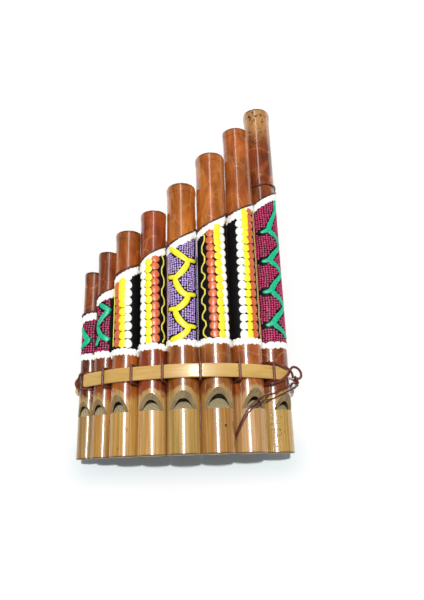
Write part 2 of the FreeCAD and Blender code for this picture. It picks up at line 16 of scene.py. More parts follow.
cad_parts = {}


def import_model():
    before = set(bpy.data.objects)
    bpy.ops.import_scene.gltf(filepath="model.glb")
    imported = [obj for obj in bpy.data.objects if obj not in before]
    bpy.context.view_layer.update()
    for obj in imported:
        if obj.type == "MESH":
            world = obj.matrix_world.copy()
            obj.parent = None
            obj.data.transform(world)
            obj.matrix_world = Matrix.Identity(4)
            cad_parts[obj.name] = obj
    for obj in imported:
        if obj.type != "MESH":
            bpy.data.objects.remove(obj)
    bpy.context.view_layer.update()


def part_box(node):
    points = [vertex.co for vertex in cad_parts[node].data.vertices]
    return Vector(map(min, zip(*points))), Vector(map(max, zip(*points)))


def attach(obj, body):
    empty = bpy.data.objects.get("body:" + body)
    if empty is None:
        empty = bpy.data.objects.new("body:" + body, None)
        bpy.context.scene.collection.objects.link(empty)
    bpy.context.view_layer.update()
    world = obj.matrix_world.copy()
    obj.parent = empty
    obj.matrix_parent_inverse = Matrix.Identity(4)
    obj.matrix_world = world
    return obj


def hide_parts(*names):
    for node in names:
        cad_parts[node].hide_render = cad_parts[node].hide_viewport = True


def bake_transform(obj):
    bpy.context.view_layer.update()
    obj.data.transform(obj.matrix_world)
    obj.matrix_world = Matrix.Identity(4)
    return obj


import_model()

ROOT, LOOSE = "lashed_pipes", "loose_cord"
COUNT = 8

# ------------------------------------------------------------------ dimensions, mm
# one entry per pipe
R_MOUTH = [4.72, 5.54, 6.78, 6.92, 7.79, 7.99, 7.83, 8.16]
R_TOP = [4.55, 5.27, 6.45, 6.55, 7.40, 7.62, 7.38, 7.56]
WALL = [1.0, 1.05, 1.2, 1.4, 1.4, 1.4, 1.4, 1.45]
WINDOW_LENGTH = [7.5, 7.8, 8.4, 8.2, 9.0, 9.8, 9.8, 8.2]
WINDOW_DEPTH = [2.3, 2.5, 2.9, 3.5, 3.5, 4.4, 3.5, 3.5]
WINDOW_TURN = [-25.0, -26.0, -29.0, -1.0, 2.0, 6.0, 24.0, 42.0]     # degrees
WINDWAY = [0.8, 0.85, 0.95, 1.1, 1.1, 1.2, 1.1, 1.1]
WINDOW_KEEL = [0.05, 0.05, 0.05, 0.05, 0.22, 0.05, 0.05, 0.05]      # ridge down the slope

WINDOW_Y = 20.2                         # straight edge of every window
NODE_WALL, NODE_RECESS = 2.2, 2.3
RIM_LENGTH = 8.0                        # the flared closed end
# (distance from the closed end, factor on the top radius)
RIM = [(8.0, 1.0), (6.0, 1.004), (4.4, 1.016), (3.0, 1.036), (1.6, 1.046), (0.6, 1.040),
       (0.0, 1.028)]

# strips: y limits, thickness, x limits
FRONT_Y, FRONT_T, FRONT_X = (34.3, 40.9), 1.7, (-50.4, 53.2)
BACK_Y, BACK_T, BACK_X = (33.0, 41.0), 1.7, (-57.8, 52.6)
STRIP_MID_Y = sum(FRONT_Y) / 2.0
STRIP_CLEAR = 0.03

CORD_R, THIN_R, LOOP_R, KNOT_R = 0.65, 0.38, 0.42, 0.52
CORD_LIFT = CORD_R + 0.04               # cord centre above what it lies on
THIN_LIFT = THIN_R + 0.05
LOOP_LIFT = LOOP_R + 0.05
TURN_PITCH = 1.36                       # between neighbouring turns of the thick cord

# axes and lengths come from the CAD pipes
AXIS_X, AXIS_Z, LENGTH = [], [], []
for pipe_no in range(1, COUNT + 1):
    box_low, box_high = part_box("pipe_%d" % pipe_no)
    AXIS_X.append((box_low[0] + box_high[0]) * 500.0)
    AXIS_Z.append((box_low[2] + box_high[2]) * 500.0)
    LENGTH.append((box_high[1] - box_low[1]) * 1000.0)
DATUM_X = AXIS_X[4] + 0.05
DATUM_Y = box_low[1] * 1000.0
AXIS_X = [x - DATUM_X for x in AXIS_X]
LAST_Z = AXIS_Z[7]


def to_frame(p):
    """Working space in mm to the frame in metres."""
    return Vector(((p[0] + DATUM_X) * 0.001, (p[1] + DATUM_Y) * 0.001, p[2] * 0.001))


# ------------------------------------------------------------------ pipe surface
def radius_at(i, y):
    """Radius of the plain taper."""
    t = min(max(y / (LENGTH[i] - RIM_LENGTH), 0.0), 1.0)
    return R_MOUTH[i] + (R_TOP[i] - R_MOUTH[i]) * t


def skin(i, angle, y):
    """Radius of the slightly uneven skin, rim included; angle in radians."""
    if y < LENGTH[i] - RIM_LENGTH:
        r = radius_at(i, y)
    else:
        r = float(np.interp(y, [LENGTH[i] - back for back, _ in RIM],
                            [R_TOP[i] * factor for _, factor in RIM]))
    c, s = math.cos(angle), math.sin(angle)
    uneven = noise.noise(Vector((c * 0.55 + 7.3 * i, s * 0.55, y * 0.021)))
    uneven += 0.5 * noise.noise(Vector((c * 1.3 + 3.1 * i, s * 1.3, y * 0.05)))
    # a slight swelling toward each neighbour closes the groove between them
    for j in (i - 1, i + 1):
        if 0 <= j < COUNT:
            toward = math.atan2(AXIS_X[j] - AXIS_X[i], AXIS_Z[j] - AXIS_Z[i])
            r += 0.25 * max(0.0, math.cos(angle - toward)) ** 22
    return r - 0.085 + 0.05 * uneven


def on_skin(i, degrees, y, height):
    """Point raised above the uneven skin."""
    angle = math.radians(degrees)
    r = skin(i, angle, y) + height
    return (AXIS_X[i] + r * math.sin(angle), y, AXIS_Z[i] + r * math.cos(angle))


def off_axis(i, degrees, y, height):
    """Point raised above the plain taper."""
    angle = math.radians(degrees)
    r = radius_at(i, y) + height
    return Vector((AXIS_X[i] + r * math.sin(angle), y, AXIS_Z[i] + r * math.cos(angle)))


# ------------------------------------------------------------------ shader builder
class Shader:
    """Builds the node tree of one material."""

    INPUTS = {"color": "Base Color", "rough": "Roughness", "coat": "Coat Weight",
              "coat_rough": "Coat Roughness", "normal": "Normal",
              "coat_normal": "Coat Normal", "spec": "Specular IOR Level",
              "sheen": "Sheen Weight", "glow_color": "Emission Color",
              "glow": "Emission Strength"}

    def __init__(self, name):
        self.material = bpy.data.materials.new(name)
        self.material.use_nodes = True
        self.tree = self.material.node_tree
        self.tree.nodes.clear()
        output = self.new("OutputMaterial")
        self.bsdf = self.new("BsdfPrincipled")
        self.tree.links.new(self.bsdf.outputs[0], output.inputs[0])

    def new(self, kind):
        return self.tree.nodes.new("ShaderNode" + kind)

    @cached_property
    def mm(self):
        """Object coordinates in mm."""
        return self.scale(self.new("TexCoord").outputs["Object"], (1000, 1000, 1000))

    def put(self, socket, value):
        if isinstance(value, bpy.types.NodeSocket):
            self.tree.links.new(value, socket)
        elif socket.type == "RGBA" and len(value) == 3:
            socket.default_value = tuple(value) + (1.0,)
        else:
            socket.default_value = value

    def math(self, operation, *values):
        node = self.new("Math")
        node.operation = operation
        for socket, value in zip(node.inputs, values):
            self.put(socket, value)
        return node.outputs[0]

    def chain(self, operation, first, *rest):
        for value in rest:
            first = self.math(operation, first, value)
        return first

    def add(self, *values):
        return self.chain("ADD", *values)

    def mul(self, *values):
        return self.chain("MULTIPLY", *values)

    def weighted(self, *pairs):
        """Sum of (value, weight) pairs."""
        first = self.mul(*pairs[0])
        return self.add(first, self.weighted(*pairs[1:])) if len(pairs) > 1 else first

    def swing(self, value, amount):
        """A 0..1 value centred on zero and scaled."""
        return self.mul(self.math("SUBTRACT", value, 0.5), amount)

    def step(self, value, span, out=(0.0, 1.0)):
        """Smooth step from out[0] to out[1] over the span, which may run backward."""
        node = self.new("MapRange")
        node.interpolation_type = "SMOOTHSTEP"
        self.put(node.inputs["Value"], value)
        node.inputs["From Min"].default_value = span[0]
        node.inputs["From Max"].default_value = span[1]
        node.inputs["To Min"].default_value = out[0]
        node.inputs["To Max"].default_value = out[1]
        return node.outputs[0]

    def band(self, value, rise, fall):
        return self.mul(self.step(value, span=rise), self.step(value, span=fall))

    def scale(self, vector, scale, offset=(0, 0, 0)):
        node = self.new("Mapping")
        self.put(node.inputs["Vector"], vector)
        node.inputs["Scale"].default_value = scale
        node.inputs["Location"].default_value = offset
        return node.outputs[0]

    def noise_node(self, scale, offset, detail, rough, distort, source):
        node = self.new("TexNoise")
        self.put(node.inputs["Vector"], self.scale(source or self.mm, scale, offset))
        node.inputs["Scale"].default_value = 1.0
        node.inputs["Detail"].default_value = detail
        node.inputs["Roughness"].default_value = rough
        node.inputs["Distortion"].default_value = distort
        return node

    def noise(self, scale, offset=(0, 0, 0), detail=3.0, rough=0.55, distort=0.0, source=None):
        node = self.noise_node(scale, offset, detail, rough, distort, source)
        return node.outputs["Fac"]

    def cells(self, scale, offset=(0, 0, 0), feature="F1", source=None):
        """Voronoi distance."""
        node = self.new("TexVoronoi")
        node.feature = feature
        self.put(node.inputs["Vector"], self.scale(source or self.mm, scale, offset))
        node.inputs["Scale"].default_value = 1.0
        return node.outputs["Distance"]

    def mix(self, factor, a, b, mode="MIX"):
        node = self.new("Mix")
        node.data_type = "RGBA"
        node.blend_type = mode
        for k, value in ((0, factor), (6, a), (7, b)):
            self.put(node.inputs[k], value)
        return node.outputs[2]

    def tint(self, color, mask, toward, amount=None):
        """Moves color toward an sRGB colour where the mask is set."""
        if amount is not None:
            mask = self.mul(mask, amount)
        return self.mix(mask, color, linear(toward))

    def ramp(self, factor, stops):
        node = self.new("ValToRGB")
        self.put(node.inputs[0], factor)
        elements = node.color_ramp.elements
        while len(elements) > 1:
            elements.remove(elements[-1])
        elements[0].position = stops[0][0]
        elements[0].color = tuple(stops[0][1]) + (1.0,)
        for position, color in stops[1:]:
            elements.new(position).color = tuple(color) + (1.0,)
        return node.outputs[0]

    def attribute(self, name, output="Fac"):
        node = self.new("Attribute")
        node.attribute_name = name
        return node.outputs[output]

    def separate(self, vector):
        node = self.new("SeparateXYZ")
        self.put(node.inputs[0], vector)
        return node.outputs

    def combine(self, *parts):
        node = self.new("CombineXYZ")
        for socket, value in zip(node.inputs, parts):
            self.put(socket, value)
        return node.outputs[0]

    def bump(self, height, distance, strength):
        """Distance in metres."""
        node = self.new("Bump")
        node.inputs["Strength"].default_value = strength
        node.inputs["Distance"].default_value = distance
        self.put(node.inputs["Height"], height)
        return node.outputs[0]

    def finish(self, **values):
        for key, value in values.items():
            self.put(self.bsdf.inputs[self.INPUTS[key]], value)
        return self.material


def linear(color):
    """sRGB 0..255 to linear."""
    out = []
    for c in color:
        c /= 255.0
        out.append(c / 12.92 if c <= 0.04045 else ((c + 0.055) / 1.055) ** 2.4)
    return tuple(out)


def scaled(color, factor):
    return tuple(min(1, c * factor) for c in linear(color))


def between(dark, light, dark_share, light_share):
    return linear([int(dark_share * a + light_share * b) for a, b in zip(dark, light)])


# ------------------------------------------------------------------ bamboo materials
# (dark, light) sRGB of the bare and of the lacquered part, per pipe
BARE = [((147, 113, 63), (176, 140, 84)), ((157, 113, 50), (188, 138, 66)),
        ((178, 132, 60), (207, 160, 82)), ((187, 140, 75), (213, 171, 103)),
        ((171, 135, 68), (204, 162, 92)), ((165, 114, 51), (192, 143, 72)),
        ((182, 136, 83), (209, 163, 109)), ((171, 132, 61), (202, 162, 90))]
LACQUER = [((95, 34, 6), (167, 87, 32)), ((119, 41, 5), (210, 105, 39)),
           ((130, 50, 6), (235, 134, 43)), ((109, 33, 6), (198, 96, 35)),
           ((140, 62, 10), (238, 146, 52)), ((132, 58, 12), (230, 142, 56)),
           ((130, 54, 14), (228, 134, 60)), ((98, 35, 9), (180, 96, 46))]
STRIP_PAINTED_SHADE = [0.80, 0.80, 0.70, 0.80, 0.60, 0.62, 0.80, 1.0]         # painted shade darkening the lacquer near the strips
DUSK_SHADE = [0.60, 0.55, 0.55, 0.70, 0.80, 0.80, 0.72, 0.62]       # lacquer's dark clouds
LUMPS = [1.3, 0.4, 0.3, 0.4, 0.35, 0.9, 0.3, 0.5]                   # skin bump


def lacquer_color(g, i, y, fine, swirl):
    """Reddish brown with swirling streaks, pale rays and dark clouds, with painted shade near
    the strips.
    """
    dark, light = LACQUER[i]
    streaks = g.noise(scale=(0.55, 0.05, 0.55), offset=(3.0 * i, 9.0 * i, 0), detail=4.0,
                      distort=0.4)
    tone = g.weighted((swirl, 0.56), (streaks, 0.26), (fine, 0.18))
    color = g.ramp(tone, [(0.26, scaled(dark, 0.60)),
                          (0.38, between(dark, light, 0.72, 0.28)),
                          (0.50, between(dark, light, 0.50, 0.50)),
                          (0.64, between(dark, light, 0.2, 0.8)),
                          (0.80, linear(light))])
    # thin pale rays along warped cell edges
    warp = g.noise_node(scale=(0.045, 0.032, 0.045), offset=(1.0, 2.0 * i, 0), detail=0.0,
                        rough=0.5, distort=0.0, source=None)
    warped = g.new("VectorMath")
    warped.operation = "MULTIPLY_ADD"
    g.put(warped.inputs[0], warp.outputs["Color"])
    warped.inputs[1].default_value = (44.0, 40.0, 44.0)
    g.put(warped.inputs[2], g.mm)
    edge = g.cells(scale=(0.075, 0.058, 0.075), offset=(3.0 * i, 1.7 * i, 0),
                   feature="DISTANCE_TO_EDGE", source=warped.outputs[0])
    patches = g.noise(scale=(0.12, 0.12, 0.12), offset=(5.0, 0, i * 3.0), detail=2.0)
    rays = g.mul(g.step(edge, span=(0.040, 0.004)), g.step(patches, span=(0.40, 0.56)))
    color = g.tint(color, rays, (236, 166, 98), amount=0.34)
    # painted shade: the lacquer is darkened toward the strips, where they shade it
    low = g.step(y, span=(44.0, 62.0), out=(STRIP_PAINTED_SHADE[i], 1.0))
    clouds = g.noise(scale=(0.085, 0.045, 0.085), offset=(4.0, 8.0 * i, 2.0), distort=0.8)
    strip_shade_and_clouds = g.mul(low, g.step(clouds, span=(0.40, 0.60), out=(DUSK_SHADE[i], 1.08)))
    blue_factor = 0.92
    return g.mix(1.0, color, g.combine(strip_shade_and_clouds, strip_shade_and_clouds, g.mul(strip_shade_and_clouds, blue_factor)), "MULTIPLY")


def last_pipe_marks(g, color, y, swirl):
    """Dark spots in a row and near the closed end of pipe 8, and its pale end."""
    end = LENGTH[7]
    row_x, cloud_share = AXIS_X[7] + DATUM_X + 0.8, 0.8
    from_row = g.math("ABSOLUTE", g.math("SUBTRACT", g.separate(g.mm)[0], row_x))
    spots = g.mul(g.step(g.cells(scale=(0.62, 0.40, 0.62)), span=(0.30, 0.17)),
                  g.step(from_row, span=(3.6, 1.6)))
    spots = g.mul(spots, g.band(y, rise=(3.0, 8.0), fall=(50.0, 46.0)))
    patches = g.noise(scale=(0.2, 0.12, 0.2), detail=2.0)
    spots = g.mul(spots, g.step(patches, span=(0.42, 0.48)))
    blotches = g.noise(scale=(0.55, 0.42, 0.55), detail=4.0, rough=0.65, distort=0.8)
    top = g.mul(g.step(blotches, span=(0.55, 0.63)),
                g.band(y, rise=(end - 24, end - 17), fall=(end - 3, end - 6)))
    pale = g.mul(g.step(y, span=(end - 27, end - 8)),
                 g.step(swirl, span=(0.30, 0.58), out=(0.45, 0.92)))
    color = g.tint(color, pale, (198, 146, 88))
    return g.tint(color, g.math("MAXIMUM", spots, g.mul(top, cloud_share)), (58, 36, 18))


def bamboo(i):
    """Skin of pipe i: bare toward the mouth, lacquered beyond the strips' near edge."""
    g = Shader("bamboo_%d" % (i + 1))
    end = LENGTH[i]
    y = g.attribute("along")
    above_cut = g.attribute("rampd")
    dark, light = BARE[i]
    streak = g.noise(scale=(1.1, 0.018, 1.1), offset=(11.0 * i, 0, 3.0 * i), detail=5.0,
                     rough=0.62)
    fine = g.noise(scale=(5.5, 0.07, 5.5), offset=(5.0 * i, 2.0, 0), rough=0.6)
    swirl = g.noise(scale=(0.17, 0.060, 0.17), offset=(7.0 * i, 4.0 * i, 0), detail=2.5,
                    rough=0.5, distort=1.2)
    bare = g.ramp(g.weighted((streak, 0.75), (fine, 0.25)),
                  [(0.30, scaled(dark, 0.80)), (0.46, linear(dark)),
                   (0.60, linear(light)), (0.75, scaled(light, 1.10))])
    lacquer = lacquer_color(g, i, y, fine, swirl)

    # the boundary between them wanders, and bends round the window
    wander = g.noise(scale=(0.22, 0.22, 0.22), offset=(0, 0, 5.0 * i), rough=0.6, distort=0.6)
    window_pull = 5.5
    edge = g.math("SUBTRACT", g.add(y, g.swing(wander, amount=9.0)),
                  g.mul(g.step(above_cut, span=(-1.7, -0.35)), window_pull))
    color = g.mix(g.step(edge, span=(25.4, 29.2)), bare, lacquer)

    # scraped halo round the window, and a thin dark line at its rim
    slope_end = WINDOW_Y + WINDOW_LENGTH[i]
    near = g.band(y, rise=(WINDOW_Y + 1.0, WINDOW_Y + 4.0),
                  fall=(slope_end + 5.0, slope_end + 2.5))
    halo = g.mul(near, g.step(above_cut, span=(-0.75, -0.25)))
    color = g.tint(color, halo, (176, 146, 96), amount=0.75)
    ragged = g.add(above_cut, g.swing(fine, amount=0.30))
    line = g.mul(g.band(ragged, rise=(-0.95, -0.72), fall=(-0.50, -0.68)), near,
                 g.step(wander, span=(0.40, 0.52)))
    color = g.tint(color, line, (92, 62, 26), amount=0.3)

    if i == 7:
        color = last_pipe_marks(g, color, y, swirl)
    spots = g.cells(scale=(0.30, 0.10, 0.30), offset=(2.0 * i, 5.0 * i, 1.0))
    patches = g.noise(scale=(0.1, 0.05, 0.1), offset=(0, 3.0 * i, 0), detail=1.0)
    rare = g.mul(g.step(spots, span=(0.12, 0.05)), g.step(patches, span=(0.50, 0.56)))
    color = g.tint(color, rare, (70, 42, 20), amount=0.8)

    # a ring and a dark edge at the closed end, and painted shade darkening the skin along the
    # mouth edge
    ring = g.band(y, rise=(end - 5.2, end - 4.7), fall=(end - 3.9, end - 4.4))
    color = g.tint(color, ring, (78, 34, 12), amount=0.30)
    color = g.tint(color, g.step(y, span=(end - 1.7, end - 0.5)), (66, 28, 12), amount=0.85)
    color = g.tint(color, g.step(y, span=(0.95, 0.30)), (88, 62, 36), amount=0.85)

    streak_height, fine_height = 0.6, 0.25
    lumps = g.mul(g.noise(scale=(0.8, 0.5, 0.8), offset=(0, 0, 2.0 * i), rough=0.6), LUMPS[i])
    height = g.add(g.mul(streak, streak_height), lumps, g.mul(fine, fine_height))
    coat_height = g.weighted((lumps, 0.7), (streak, 0.25))
    return g.finish(color=color, rough=g.step(fine, span=(0.3, 0.7), out=(0.26, 0.40)),
                    coat=0.9,
                    coat_rough=g.step(streak, span=(0.3, 0.7), out=(0.035, 0.085)),
                    normal=g.bump(height, distance=0.00006, strength=0.75),
                    coat_normal=g.bump(coat_height, distance=0.00004, strength=0.6),
                    spec=0.45)


def cut_bamboo():
    """Knife-cut bamboo: lengthwise fibres and dark dots on the end grain."""
    g = Shader("cut_bamboo")
    fibre = g.noise(scale=(3.2, 0.22, 3.2), detail=4.0, rough=0.65)
    broad = g.noise(scale=(0.5, 0.2, 0.5))
    color = g.ramp(g.weighted((fibre, 0.65), (broad, 0.35)),
                   [(0.34, linear((98, 78, 48))), (0.48, linear((134, 110, 72))),
                    (0.62, linear((162, 138, 94)))])
    dots = g.step(g.cells(scale=(2.4, 0.35, 2.4)), span=(0.26, 0.12))
    color = g.tint(color, dots, (88, 64, 36), amount=0.55)
    dot_height = -0.4
    height = g.add(fibre, g.mul(dots, dot_height))
    return g.finish(color=color, rough=0.62, spec=0.35,
                    normal=g.bump(height, distance=0.00008, strength=0.8))


def plug_wood():
    """Pale wood with growth rings about Y."""
    g = Shader("plug_wood")
    wave = g.new("TexWave")
    wave.wave_type = "RINGS"
    wave.rings_direction = "Y"
    g.put(wave.inputs["Vector"], g.scale(g.mm, scale=(0.26, 0.12, 0.26)))
    wave.inputs["Scale"].default_value = 1.0
    wave.inputs["Distortion"].default_value = 2.2
    wave.inputs["Detail"].default_value = 2.0
    rings = wave.outputs["Fac"]
    fibre = g.noise(scale=(2.6, 0.5, 2.6), detail=4.0, rough=0.6)
    color = g.ramp(g.weighted((rings, 0.16), (fibre, 0.84)),
                   [(0.25, linear((134, 119, 88))), (0.48, linear((174, 158, 122))),
                    (0.75, linear((208, 195, 162)))])
    ring_height = 0.10
    height = g.add(fibre, g.mul(rings, ring_height))
    return g.finish(color=color, rough=0.6, spec=0.3,
                    normal=g.bump(height, distance=0.00006, strength=0.7))


def strip_bamboo(name, dark, middle, light):
    """Split bamboo; suv holds (length along, offset across, height) in mm."""
    g = Shader(name)
    suv = g.attribute("suv", "Vector")
    fibre = g.noise(scale=(0.035, 2.6, 2.6), detail=6.0, rough=0.68, source=suv)
    fine = g.noise(scale=(0.10, 8.0, 8.0), rough=0.6, source=suv)
    patch = g.noise(scale=(0.06, 0.28, 1.0), rough=0.5, distort=0.6, source=suv)
    color = g.ramp(g.weighted((fibre, 0.36), (fine, 0.20), (patch, 0.44)),
                   [(0.30, linear(dark)), (0.50, linear(middle)), (0.66, linear(light))])
    spots = g.step(g.cells(scale=(0.05, 0.5, 0.5), source=suv), span=(0.10, 0.04))
    color = g.tint(color, spots, (120, 84, 30), amount=0.5)
    edge = g.step(g.math("ABSOLUTE", g.separate(suv)[1]), span=(2.7, 3.25))
    color = g.tint(color, edge, (222, 178, 120), amount=0.35)
    fine_height = 0.5
    height = g.add(fibre, g.mul(fine, fine_height))
    return g.finish(color=color, rough=g.step(fibre, span=(0.3, 0.7), out=(0.34, 0.5)),
                    coat=0.35, coat_rough=0.16, spec=0.4,
                    normal=g.bump(height, distance=0.00005, strength=0.7))


def cord(name, dark, light):
    """Waxed twisted cord."""
    g = Shader(name)
    suv = g.attribute("suv", "Vector")
    fibre = g.noise(scale=(1.2, 6.0, 1.0), detail=4.0, rough=0.65, source=suv)
    broad = g.noise(scale=(0.12, 0.6, 1.0), rough=0.6, source=suv)
    color = g.ramp(g.weighted((fibre, 0.5), (broad, 0.5)),
                   [(0.36, linear(dark)), (0.64, linear(light))])
    return g.finish(color=color, rough=g.step(fibre, span=(0.3, 0.7), out=(0.36, 0.55)),
                    coat=0.12, coat_rough=0.28, sheen=0.03, spec=0.45,
                    normal=g.bump(fibre, distance=0.00005, strength=0.8))


def paint(name, light, dark, rough, gloss, glow):
    """Thick brushed paint: small tone changes, faint ridges, soft gloss, and an optional painted
    glow.
    """
    g = Shader(name)
    tone = g.noise(scale=(0.9, 0.9, 0.9), detail=4.0, rough=0.6)
    fine = g.noise(scale=(4.0, 4.0, 4.0), rough=0.6)
    color = g.mix(g.step(tone, span=(0.38, 0.62)), linear(dark), linear(light))
    fine_height = 0.35
    height = g.add(tone, g.mul(fine, fine_height))
    if glow:                            # painted glow: emission brightens the paint beyond what the lamps give
        g.finish(glow_color=color, glow=glow)
    return g.finish(color=color,
                    rough=g.step(fine, span=(0.3, 0.7), out=(rough - 0.05, rough + 0.10)),
                    coat=0.22 * gloss, coat_rough=0.20, spec=0.4 * gloss,
                    normal=g.bump(height, distance=0.00010, strength=0.6))


SKIN = [bamboo(i) for i in range(COUNT)]
CUT = cut_bamboo()
PLUG = plug_wood()
FRONT_STRIP = strip_bamboo("front_strip", dark=(188, 142, 70), middle=(210, 168, 92),
                           light=(224, 186, 112))
BACK_STRIP = strip_bamboo("back_strip", dark=(178, 138, 76), middle=(206, 170, 100),
                          light=(220, 188, 124))
CORD = cord("waxed_cord", dark=(58, 15, 6), light=(138, 58, 24))
LOOP_CORD = cord("loop_cord", dark=(46, 12, 6), light=(120, 52, 26))
THIN_CORD = cord("thin_cord", dark=(52, 16, 8), light=(112, 48, 24))

# name, light sRGB, dark sRGB, roughness, gloss, glow (emission strength, a painted glow)
PAINTS = [
    ("paint_black", (10, 9, 11), (18, 17, 21), 0.55, 0.25, 0.0),
    ("paint_white", (255, 255, 250), (247, 246, 238), 0.45, 0.5, 0.10),
    ("paint_yellow", (255, 244, 60), (250, 234, 44), 0.38, 0.7, 0.04),
    ("paint_orange", (228, 118, 70), (212, 98, 54), 0.34, 1.0, 0.0),
    ("paint_teal", (34, 200, 152), (26, 176, 132), 0.36, 0.7, 0.0),
    ("paint_crimson", (220, 66, 120), (192, 46, 98), 0.42, 0.6, 0.0),
    ("paint_lilac", (214, 184, 248), (190, 154, 232), 0.42, 0.6, 0.0),
    ("paint_dull_line", (206, 184, 104), (160, 138, 76), 0.42, 0.6, 0.0),
    ("growth_speck", (46, 27, 12), (64, 40, 20), 0.45, 1.0, 0.0),
    ("paint_pale_line", (250, 234, 100), (232, 212, 80), 0.38, 0.6, 0.04),
]
PAINT = {row[0]: paint(*row) for row in PAINTS}


# ------------------------------------------------------------------ mesh helpers
def make(name, verts, faces, materials, replaces=None, suv=None,
         face_materials=None):
    """Smooth-shaded object from vertices in working space."""
    me = bpy.data.meshes.new(name)
    me.from_pydata([to_frame(v) for v in verts], [], faces)
    me.update()
    ob = bpy.data.objects.new(name, me)
    bpy.context.scene.collection.objects.link(ob)
    for material in materials:
        me.materials.append(material)
    if face_materials:
        me.polygons.foreach_set("material_index", face_materials)
    me.polygons.foreach_set("use_smooth", [True] * len(me.polygons))
    if suv:
        layer = me.attributes.new("suv", "FLOAT_VECTOR", "POINT")
        layer.data.foreach_set("vector", [c for v in suv for c in v])
    me.validate()
    if replaces:
        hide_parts(replaces)
    return ob


def face_outward(ob):
    bm = bmesh.new()
    bm.from_mesh(ob.data)
    bmesh.ops.recalc_face_normals(bm, faces=bm.faces)
    bm.to_mesh(ob.data)
    bm.free()


def sharpen(ob, degrees):
    """Marks edges steeper than the angle, and open edges, as sharp."""
    bm = bmesh.new()
    bm.from_mesh(ob.data)
    limit = math.radians(degrees)
    for e in bm.edges:
        e.smooth = not (len(e.link_faces) != 2 or e.calc_face_angle(0.0) > limit)
    bm.to_mesh(ob.data)
    bm.free()


def tube_faces(rings, sides):
    faces = []
    for r in range(rings - 1):
        for s in range(sides):
            n = (s + 1) % sides
            faces.append((r * sides + s, r * sides + n, (r + 1) * sides + n,
                          (r + 1) * sides + s))
    return faces


def end_caps(rings, sides):
    return [tuple(range(sides - 1, -1, -1)),
            tuple(range((rings - 1) * sides, rings * sides))]


# ------------------------------------------------------------------ pipes
PIPE_SIDES = 112


def bore_radius(i):
    return min(R_MOUTH[i], R_TOP[i]) - WALL[i]


def in_window_frame(i, across, y, out):
    """Point from the window's own turned frame: across it, along Y, out from the axis."""
    a = math.radians(WINDOW_TURN[i])
    c, s = math.cos(a), math.sin(a)
    return (AXIS_X[i] + across * c + out * s, y, AXIS_Z[i] - across * s + out * c)


def slope_height(i, y):
    """Height of the window's sloped cut above the pipe axis."""
    return (radius_at(i, WINDOW_Y) - WINDOW_DEPTH[i]
            + (y - WINDOW_Y) * WINDOW_DEPTH[i] / WINDOW_LENGTH[i])


def above_slope(i, x, y, z):
    """Distance of a point above the sloped cut."""
    a = math.radians(WINDOW_TURN[i])
    out = (x - AXIS_X[i]) * math.sin(a) + (z - AXIS_Z[i]) * math.cos(a)
    return (out - slope_height(i, y)) * math.cos(math.atan2(WINDOW_DEPTH[i], WINDOW_LENGTH[i]))


def pipe_profile(i):
    """Rings (kind, radius or factor, y): up-bore node, bore, mouth, skin, rim, node cup."""
    end, bore = LENGTH[i], bore_radius(i)
    node = end - NODE_RECESS - NODE_WALL
    cup = end - NODE_RECESS
    rings = [("in", bore * k, node) for k in (0.35, 0.7, 0.93)]
    rings.append(("in", bore, node - 0.5))
    inside = (list(np.arange(node - 0.5 - 6, 40, -6.0)) + list(np.arange(39, 0.6, -1.5))
              + [0.3])
    rings += [("in", bore, float(y)) for y in inside]
    rings += [("in", bore + 0.15, 0.06), ("face", bore + 0.35, 0.0)]
    outside = ([0.0, 0.08, 0.2, 0.36, 0.7] + list(np.arange(1.5, 17.5, 1.6))
               + list(np.arange(17.5, 33.0, 0.55)) + list(np.arange(33.0, end - 8.2, 1.7)))
    outside += [end - back for back in (8.0, 7.0, 6.0, 5.2, 4.6, 4.0, 3.4, 2.8, 2.2, 1.6, 1.1,
                                        0.75, 0.5, 0.3, 0.12)]
    rings += [("out", None, y) for y in outside]
    rings += [("top", 0.985, end - 0.03), ("top", 0.94, end),
              ("lip", bore * 1.03, end - 0.02), ("lip", bore * 0.975, end - 0.25),
              ("cup", bore * 0.94, end - 1.0), ("cup", bore * 0.88, cup + 0.35),
              ("cup", bore * 0.80, cup + 0.05), ("cup", bore * 0.62, cup + 0.12),
              ("cup", bore * 0.3, cup + 0.22)]
    return rings


def ring_radius(i, kind, r, y, angle):
    end = LENGTH[i]
    if kind == "face":
        return r
    if kind == "top":
        return skin(i, angle, end) * r
    if kind == "out":
        out = skin(i, angle, y)
        if y < 0.36:                    # rounded mouth edge
            out -= 0.26 * (1 - y / 0.36) ** 2
        if y > end - 0.75:              # rounded rim edge
            out -= 0.35 * ((y - (end - 0.75)) / 0.75) ** 2.2
        return out
    if kind == "in" and WINDOW_Y - 2 < y < WINDOW_Y + WINDOW_LENGTH[i] + 8:
        # the bore widens a little under the window
        u = min(1.0, (y - WINDOW_Y + 2) / (WINDOW_LENGTH[i] + 10))
        r = bore_radius(i) + 0.32 * math.sin(math.pi * u) ** 0.5
    uneven = noise.noise(Vector((math.cos(angle), math.sin(angle), y * 0.05 + i)))
    return r * (1 + 0.012 * uneven)


